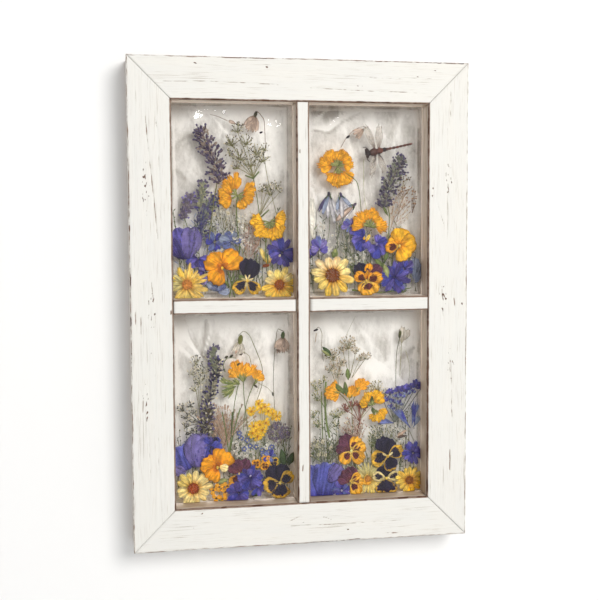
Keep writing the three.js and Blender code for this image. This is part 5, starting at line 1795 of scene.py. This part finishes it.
@specimen(layer=1.7)
def bottom_left_small_orange_flowers(sheet):
    ragged(sheet, 34.7, -51.2, 5, 7, 5, [SKY, INDIGO])
    for x, z, paint in ((21, -57.5, ORANGE_SPOT), (30.7, -54, ORANGE_HEAD), (38.5, -56.2, RIMMED),
                        (29.7, -59.8, ORANGE_SPOT)):
        for k in range(4):
            petal(sheet, x, z, 45 + 90 * k, 5.2, 5.4, paint, ROUND, 0.0)
    for x, z in ((-21, -81.4), (-15.1, -78.6), (-9.3, -83.7), (-18.1, -89.3), (-12.3, -90.5), (-7.3, -78)):
        for k in range(3):
            petal(sheet, x, z, 20 + 120 * k, 5.0, 4.6, ORANGE_HEAD, ROUND, 0.1)
        blob(sheet, x, z, 0, 2.2, 1.8, rgb(120, 60, 24), -0.2)
    for x, z, lean, long, paint in ((49.1, -62.5, 100, 19, DARK_LEAF), (53, -60.7, 70, 14, DARK_LEAF),
                                    (45.3, -60.4, 128, 12, LEAVES), (16.8, -89.6, 40, 13, DARK_LEAF),
                                    (-18, -75.6, 20, 12, LIGHT_LEAF), (12.2, -63.1, 230, 10, LEAVES)):
        leaf(sheet, x, z, lean, long, 7.0, paint, 0.3)
    stem(sheet, [(13.8, -97.3), (18.8, -91.6)], 1.8, INK, -0.2, taper=0.7)
    stem(sheet, [(-16.2, -91.3), (-6.5, -94.6), (1.2, -97.8)], 0.9, GREEN)


@specimen(layer=4.8)
def bottom_left_undergrowth(sheet):
    thicket(sheet, -14, 46, [LEAVES, DARK_LEAF, SHEER_CREAM])


# ---- bottom right light ----

@specimen()
def bottom_right_cream_umbel(sheet):
    shades = [CREAM, rgb(204, 182, 160), rgb(124, 108, 76), rgb(186, 168, 132), rgb(96, 84, 60)]
    cream = look(CREAM, rgb(228, 216, 196), rgb(220, 200, 186))
    umbel(sheet, (-13.3, 23.7), [(-14.3, 58.7, 16, 34), (-20.4, 54, 9, 14), (-7.2, 51.5, 8, 12)], 0.7,
          OLIVE, shades, 1.4, cream)
    umbel(sheet, (-11.2, 23.6), [(3, 45.1, 10, 16), (-3.1, 43.3, 8, 12)], 0.6, OLIVE, shades, 1.3, cream)
    umbel(sheet, (-25.5, 10.1), [(-30.6, 46.3, 14, 28), (-22.4, 40, 11, 20), (-32.6, 34.4, 10, 16),
                                 (-25.5, 30.1, 11, 18)], 0.6, OLIVE, shades, 1.4, cream)


@specimen()
def bottom_right_green_stems(sheet):
    stem(sheet, [(-37.1, 20.6), (-38.1, 4.6), (-37.1, -17.4), (-33.6, -35.5)], 2.0, rgb(120, 136, 84), 0.1,
         taper=1.1)
    stem(sheet, [(-41.8, 10.7), (-41.2, -11.3), (-40.7, -37.3)], 1.2, GREEN, 0.2)
    sprays = [rgb(160, 158, 112), rgb(190, 182, 140), rgb(112, 116, 78), CREAM]
    umbel(sheet, (-37.7, -7.4), [(-47.9, 17, 11, 22), (-39.8, 22.7, 9, 14), (-45.9, 6.9, 10, 18),
                                 (-31.6, 14.4, 8, 12)], 0.5, GREEN, sprays, 1.4)
    umbel(sheet, (-36.7, -29.4), [(-49.9, -11, 11, 20), (-45.8, -21.1, 9, 16), (-27.5, -11.8, 11, 22),
                                  (-21.4, -10, 7, 10), (-27.5, -21.8, 8, 12)], 0.5, GREEN, sprays, 1.4)
    puff(sheet, -38.7, -46.4, 34, 22, 230, [rgb(126, 128, 98), rgb(96, 100, 76), CREAM, rgb(156, 156, 124)],
         (-37.7, -63.4), size=1.6, stalk=GREY_GREEN)
    for x, z in ((-46.9, -43.1), (-40.7, -39.3), (-32.6, -45.6), (-37.7, -52.4), (-26.5, -47.8),
                 (-44.8, -52.1)):
        tiny_flower(sheet, x, z, 2.2, CREAMY, OLIVE, -0.3)


@specimen()
def bottom_right_orange_cluster(sheet):
    for x, z, lean in ((-26.5, 10.2, 138), (-24.5, 10.1, 210), (-14.3, 3.7, 98), (-12.2, 5.7, 60),
                       (-6.1, 11.4, 70), (-27.5, 10.2, 172), (-5.1, 13.4, 40)):
        floret(sheet, x, z, lean, 12, 9, ORANGE_HEAD, sway(0.3))
    for x, z, lean, long in ((-17.3, 5.8, 96, 15), (-19.4, 7.9, 128, 14), (-18.3, 9.9, 150, 12),
                             (-15.3, 21.8, 95, 12)):
        leaf(sheet, x, z, lean, long, 5.0, LEAVES, 0.0)
    for line in ([(-25.5, 10.1), (-17.3, 1.8), (-11.2, -10.4)],
                 [(-5.1, 13.4), (-11.2, -2.4), (-11.2, -22.4)]):
        stem(sheet, line, 1.0, OLIVE, 0.3)


@specimen()
def bottom_right_yellow_cluster(sheet):
    head(sheet, 8.2, -4.1, [160, 140, 100, 66, 44], 4.0, 12, 9.5, YELLOW)
    head(sheet, 11.2, -8.2, [-30, -58, -96], 4.0, 10, 9, YELLOW, OLIVE)
    leaf(sheet, 8.2, -4.1, 88, 10, 4.0, DARK_LEAF, -0.4)
    leaf(sheet, 8.2, -5.1, -70, 9, 4.0, LEAVES, -0.4)


@specimen()
def bottom_right_pink_umbel(sheet):
    rose = [rgb(150, 96, 84), rgb(128, 80, 70), PINKISH]
    umbel(sheet, (-4.1, -19.6), [(-17.3, -6.1, 9, 14), (-11.2, -2.4, 8, 12), (-5.1, -1.6, 8, 12),
                                 (1, -5.8, 8, 12)], 0.9, rgb(140, 90, 76), rose, 1.7)
    umbel(sheet, (-3.1, -18.7), [(3, 15.1, 12, 20), (15.3, 14.7, 14, 26), (21.4, 8.4, 10, 16),
                                 (9.2, 8.9, 9, 12)], 0.5, OLIVE,
          [rgb(166, 160, 126), rgb(130, 128, 100), CREAM], 1.4)
    stem(sheet, [(-4.1, -2.6), (-3.1, -18.7), (-6.1, -30.6)], 1.4, rgb(132, 78, 68))
    puff(sheet, -10.2, -25.4, 28, 22, 140, [PINKISH, rgb(212, 190, 176), rgb(150, 120, 104), CREAM],
         (-5.1, -44.6), stalk=PINKISH)


@specimen()
def bottom_right_blue_umbel(sheet):
    foot = (31.6, -21.9)
    for x, z, wide in ((20.9, -0.6, 7), (27.1, 7.2, 7), (36.7, 8.9, 8), (41.8, 9.7, 9), (48.9, 12.4, 7),
                       (54.5, 13.7, 9), (59.1, 11, 6)):
        bend = ((x + foot[0]) / 2, (z + foot[1]) / 2 - 2)
        stem(sheet, [foot, bend, (x, z)], 0.9, rgb(104, 106, 100), 0.2)
        for k in range(7):
            petal(sheet, x, z, 10 + 26 * k + 12 * CHANCE.random(), wide * some(0.5, 0.4), wide * 0.34,
                  (INDIGO, DARK_VIOLET, VIOLET)[k % 3], BROAD, 0.1 * k - 0.3, VELVET_SLOT)
        blob(sheet, x, z, 90, 4, 2.6, rgb(76, 70, 110), -0.2, STALK_SLOT)
    for x, z in ((24.5, 0), (30.5, -3), (33.5, 2.5), (38.5, 2), (44.5, 5), (50.5, 6.5), (28, -9),
                 (36.5, -5)):
        stem(sheet, [foot, (x, z)], 0.6, GREY_GREEN, 0.2)
        ragged(sheet, x, z, 5, 4.6, 2.4, [INDIGO, SHEER_BLUE, DARK_VIOLET], 20, 150, SMALL, VELVET_SLOT)
    for x, z, lean, long, wide, paint in ((31.6, -22.9, 166, 17, 9, SKY), (48.9, -28.6, 130, 25, 6.4, SKY),
                                          (47.9, -28.5, 119, 22, 4.6, INDIGO),
                                          (49.9, -26.6, 80, 24, 8, SKY), (53, -26.7, 94, 22, 6, INDIGO),
                                          (51, -28.7, 60, 14, 6, SHEER_BLUE)):
        petal(sheet, x, z, lean, long, wide, paint, FAN, sway(0.4), VELVET_SLOT)


@specimen()
def bottom_right_nodding_stem(sheet):
    blob(sheet, 37.7, 65.8, 80, 7.5, 3.4, rgb(78, 80, 44), -0.2, STALK_SLOT)
    petal(sheet, 39.7, 56.7, 88, 17, 8, SHEER_CREAM, SHEER, 0.1, SHEER_SLOT)
    petal(sheet, 41.8, 59.7, 64, 12, 7, SHEER_CREAM, SHEER, 0.0, SHEER_SLOT)
    stem(sheet, [(37.7, 61.8), (34.6, 47.9), (33.6, 20), (34.6, -12.1), (35.7, -38.1)], 0.7,
         rgb(110, 110, 84))
    stem(sheet, [(39.7, 61.7), (38.7, 43.8), (37.7, 23.8)], 0.6, OLIVE)
    stem(sheet, [(43.8, 49.6), (47.9, 31.5), (45.8, 11.5)], 0.4, OLIVE)


@specimen()
def bottom_right_burgundy_pansy(sheet):
    viola(sheet, -12.5, -48.9, [(118, 18, 16, WINE), (166, 15, 13, WINE), (60, 15, 14, WINE_GOLD),
                                (18, 15, 14, WINE_GOLD), (-42, 16, 15, WINE_GOLD),
                                (228, 15, 14, WINE_GOLD)], rgb(250, 232, 150))


@specimen()
def bottom_right_black_pansy_upper(sheet):
    viola(sheet, 25.1, -55.7, [(-72, 15, 15, THIN_RIM), (112, 20, 18, BLACK), (84, 17, 15, BLACK),
                               (190, 17, 18, RIMMED), (24, 16.5, 15, RIMMED), (-60, 13, 12, BLACK)],
          rgb(232, 186, 70))
    petal(sheet, 24.5, -55.7, 150, 6, 2.2, CREAM_EYE, RAY, -0.55)
    petal(sheet, 25.5, -55.7, 40, 6, 2.2, CREAM_EYE, RAY, -0.55)


@specimen()
def bottom_right_black_pansy_lower(sheet):
    viola(sheet, 23.5, -78.2, [(116, 13, 13, BLACK), (64, 13, 13, BLACK), (166, 13.5, 11, CREAM_RIM),
                               (14, 13.5, 11, CREAM_RIM), (-90, 16, 24, THIN_RIM)], rgb(236, 200, 90))


@specimen()
def bottom_right_blue_petals(sheet):
    petal(sheet, -45, -96.2, 102, 37, 31, PERIWINKLE, GREAT, 0.2, VELVET_SLOT)
    petal(sheet, -40, -96.2, 80, 38, 31, PERIWINKLE, GREAT, 0.0, VELVET_SLOT)
    petal(sheet, -35.6, -79.5, 52, 22, 17, SHEER_VIOLET, ROUND, -0.2, SHEER_SLOT)
    petal(sheet, -33.6, -81.5, 36, 19, 14, VIOLET, ROUND, 0.2, VELVET_SLOT)


@specimen()
def bottom_right_burgundy_viola(sheet):
    viola(sheet, -13.2, -78.9, [(86, 14, 14, WINE), (122, 13, 12, WINE), (168, 12.5, 11, WINE),
                                (36, 11, 9, WINE_GOLD), (-6, 13, 11, WINE_GOLD), (-56, 16, 14, WINE_GOLD)],
          rgb(248, 206, 90))


@specimen()
def bottom_right_gold_aster(sheet):
    daisy(sheet, 5.1, -78, 26, 17, 2.8, 6, [ASTER, ASTER, LEMON], [DISC_GOLD, rgb(176, 120, 60)], 3.4, 0.2)
    petal(sheet, 3.1, -74.9, -70, 10, 6, ORANGE_HEAD, ROUND, -0.4)
    petal(sheet, 4.1, -72.9, -100, 12, 6, WINE_GOLD, ROUND, -0.3)


@specimen()
def bottom_right_yellow_daisy(sheet):
    daisy(sheet, 47.1, -80.9, 14, 14.5, 5.0, 10, [SUN, SUN, YELLOW], [rgb(176, 108, 30), rgb(130, 74, 22)],
          4.2)


@specimen(layer=0.6)
def bottom_right_cornflowers(sheet):
    ragged(sheet, 50.5, -53.2, 18, 10.5, 4.6, [INDIGO, DARK_VIOLET, VIOLET])
    ragged(sheet, -21.9, -87.5, 16, 9, 4.6, [VIOLET, INDIGO, SKY])
    blob(sheet, -22.4, -88, 0, 2.4, 2.0, rgb(210, 206, 230), -0.6)


@specimen(layer=3.2)
def bottom_right_nodding_bud(sheet):
    stem(sheet, [(-47.9, 72), (-44.9, 74.9), (-41.3, 68.7), (-41.8, 54.7), (-39.8, 40.7)], 0.6,
         rgb(120, 112, 84))
    blob(sheet, -47.4, 71.9, 200, 5, 2.2, INK)
    stem(sheet, [(-46.9, 68.9), (-47.9, 60)], 0.9, BEIGE)
    leaf(sheet, -31.6, 46.4, 136, 13, 4.6, DARK_LEAF, -0.1)
    leaf(sheet, -32.6, 45.4, 144, 11, 3.4, LIGHT_LEAF, -0.3)
    stem(sheet, [(-7.8, 84.5), (-13.3, 73.7), (-19.4, 60.9)], 0.4, rgb(150, 150, 130))


@specimen(layer=3.8)
def bottom_right_fine_sprays(sheet):
    puff(sheet, 18.4, -31.5, 30, 18, 130, [rgb(140, 140, 108), rgb(100, 102, 80), CREAM], (21.4, -49.6),
         stalk=GREY_GREEN)
    puff(sheet, 10.2, -39.2, 12, 12, 40, [OLIVE, GREEN, CREAM], (13.3, -55.3), stalk=GREEN)
    puff(sheet, 39.7, -12.2, 26, 32, 60, [GREY_GREEN, rgb(110, 112, 110)], (35.7, -40.1), 0.3, 1.2,
         GREY_GREEN)
    petal(sheet, 33.6, -37, 30, 13, 4.0, DRIED, LEAF, -0.1)
    petal(sheet, 33.6, -38, 10, 12, 3.0, look(BROWN, rgb(96, 86, 84), BROWN), LEAF, -0.2)
    for line in ([(31.6, -19.9), (33.6, -36), (39.8, -52.2)], [(45.9, -27.5), (52, -40.7), (58.1, -52.9)],
                 [(21.4, -15.6), (27.5, -33.8), (41.8, -46.3)],
                 [(36.7, -30.1), (47.9, -42.5), (56.1, -46.8)], [(-5.1, -28.6), (3.1, -60.9), (9.2, -77.1)],
                 [(-11.2, -64.4), (-1, -72.7)]):
        stem(sheet, line, 0.6, OLIVE)
    lace(sheet, 40, -28, 26, 30, 26, WHITE)
    lace(sheet, -8, -32, 24, 20, 24, WHITE)


@specimen(layer=4.8)
def bottom_right_undergrowth(sheet):
    thicket(sheet, -10, 46, [LEAVES, DARK_LEAF, CREAMY])


# ---- wall, floor, light and camera ----

def stage_material(name, shade, one_sided):
    """Matt paint; one-sided, it is see-through from behind."""
    material, tree, surface = new_material(name)
    place = put(tree, "ShaderNodeTexCoord").outputs["Object"]
    tone = mixed(tree, texture(tree, place, 9.0), shade, shade * 0.985)
    tree.links.new(tone, surface.inputs["Base Color"])
    surface.inputs["Roughness"].default_value = 0.9
    if one_sided:
        clear = put(tree, "ShaderNodeBsdfTransparent")
        back = put(tree, "ShaderNodeNewGeometry").outputs["Backfacing"]
        choice = put(tree, "ShaderNodeMixShader", {0: back, 1: surface.outputs[0], 2: clear.outputs[0]})
        tree.links.new(choice.outputs[0], tree.nodes["Material Output"].inputs["Surface"])
    return material


def stage_plane(name, corners, material):
    """A large face round the part, for the picture alone."""
    mesh = bpy.data.meshes.new(name)
    mesh.from_pydata([tuple(part * MM for part in corner) for corner in corners], [], [(0, 1, 2, 3)])
    mesh.materials.append(material)
    plane = bpy.data.objects.new(name, mesh)
    bpy.context.scene.collection.objects.link(plane)
    return plane


def area_light(name, place, size, power, tint, mirrored=True):
    """A round lamp aimed at the middle of the sash; places in metres, power in watts."""
    lamp = bpy.data.lights.new(name, "AREA")
    lamp.shape, lamp.size, lamp.energy, lamp.color = "DISK", size, power, tint
    holder = bpy.data.objects.new(name, lamp)
    bpy.context.scene.collection.objects.link(holder)
    holder.location = place
    aim = mathutils.Vector(MIDDLE) - mathutils.Vector(place)
    holder.rotation_euler = aim.to_track_quat("-Z", "Y").to_euler()
    holder.visible_transmission = False
    holder.visible_glossy = mirrored
    return holder


def shine_past(lamp, wall):
    """Lets a lamp behind the wall light the sash's back, which the wall would hide from it."""
    passed = bpy.data.collections.new("not in the back lamp's way")
    passed.objects.link(wall)
    passed.collection_objects[0].light_linking.link_state = "EXCLUDE"
    lamp.light_linking.blocker_collection = passed


# Wall and floor, in mm: the wall's face just behind the sash, and how far both reach.
WALL_Y, WALL_TOP, FLOOR_Z = 0.4, 2500, -1500
REACH, FLOOR_FRONT = 3000, -5000
WALL_PLANE = stage_plane("wall", [(-REACH, WALL_Y, FLOOR_Z), (REACH, WALL_Y, FLOOR_Z),
                                  (REACH, WALL_Y, WALL_TOP), (-REACH, WALL_Y, WALL_TOP)],
                         stage_material("white wall", rgb(233, 233, 233), True))
stage_plane("floor", [(-REACH, FLOOR_FRONT, FLOOR_Z), (REACH, FLOOR_FRONT, FLOOR_Z),
                      (REACH, REACH, FLOOR_Z), (-REACH, REACH, FLOOR_Z)],
            stage_material("pale floor", rgb(236, 235, 233), False))

WORLD = bpy.data.worlds.new("studio")
bpy.context.scene.world = WORLD
WORLD.use_nodes = True
WORLD.node_tree.nodes["Background"].inputs["Color"].default_value = (0.98, 0.99, 1.0, 1.0)
WORLD.node_tree.nodes["Background"].inputs["Strength"].default_value = 0.62
MIDDLE = (0.0, 0.0, CENTRE_Z * MM)
PLAIN_LIGHT, WARM_LIGHT = (1.0, 1.0, 1.0), (1.0, 0.98, 0.95)
area_light("key", (0.73, -2.15, 0.70), 1.2, 46.0, WARM_LIGHT, False)
# The two glints are mirrored in the resin's folds and light nothing else.
area_light("side glint", (-1.05, -2.2, 0.05), 0.4, 10.0, PLAIN_LIGHT).visible_diffuse = False
area_light("top glint", (0.06, -2.2, 0.64), 0.42, 8.0, PLAIN_LIGHT).visible_diffuse = False
shine_past(area_light("back fill", (0.2, 2.6, 0.1), 2.0, 60.0, PLAIN_LIGHT), WALL_PLANE)

# The camera of the photograph: where it stands, in mm, where it looks, and its lens.
EYE = (-171.2, -958.3, -146.7)
FORWARD = (0.17878, 0.98134, -0.07077)
UPWARD = (0.01714, 0.06881, 0.99748)
LENS, SENSOR = 59.58, 36.0


def photo_camera():
    """Stands the camera where the photograph was taken from."""
    lens = bpy.data.cameras.new("camera")
    lens.lens, lens.sensor_width, lens.sensor_fit = LENS, SENSOR, "HORIZONTAL"
    camera = bpy.data.objects.new("camera", lens)
    bpy.context.scene.collection.objects.link(camera)
    back = -mathutils.Vector(FORWARD).normalized()
    right = mathutils.Vector(UPWARD).cross(back).normalized()
    up = back.cross(right)
    turn = mathutils.Matrix((right, up, back)).transposed().to_4x4()
    camera.matrix_world = mathutils.Matrix.Translation([part * MM for part in EYE]) @ turn
    bpy.context.scene.camera = camera


photo_camera()
bpy.context.scene.view_settings.view_transform = "Standard"
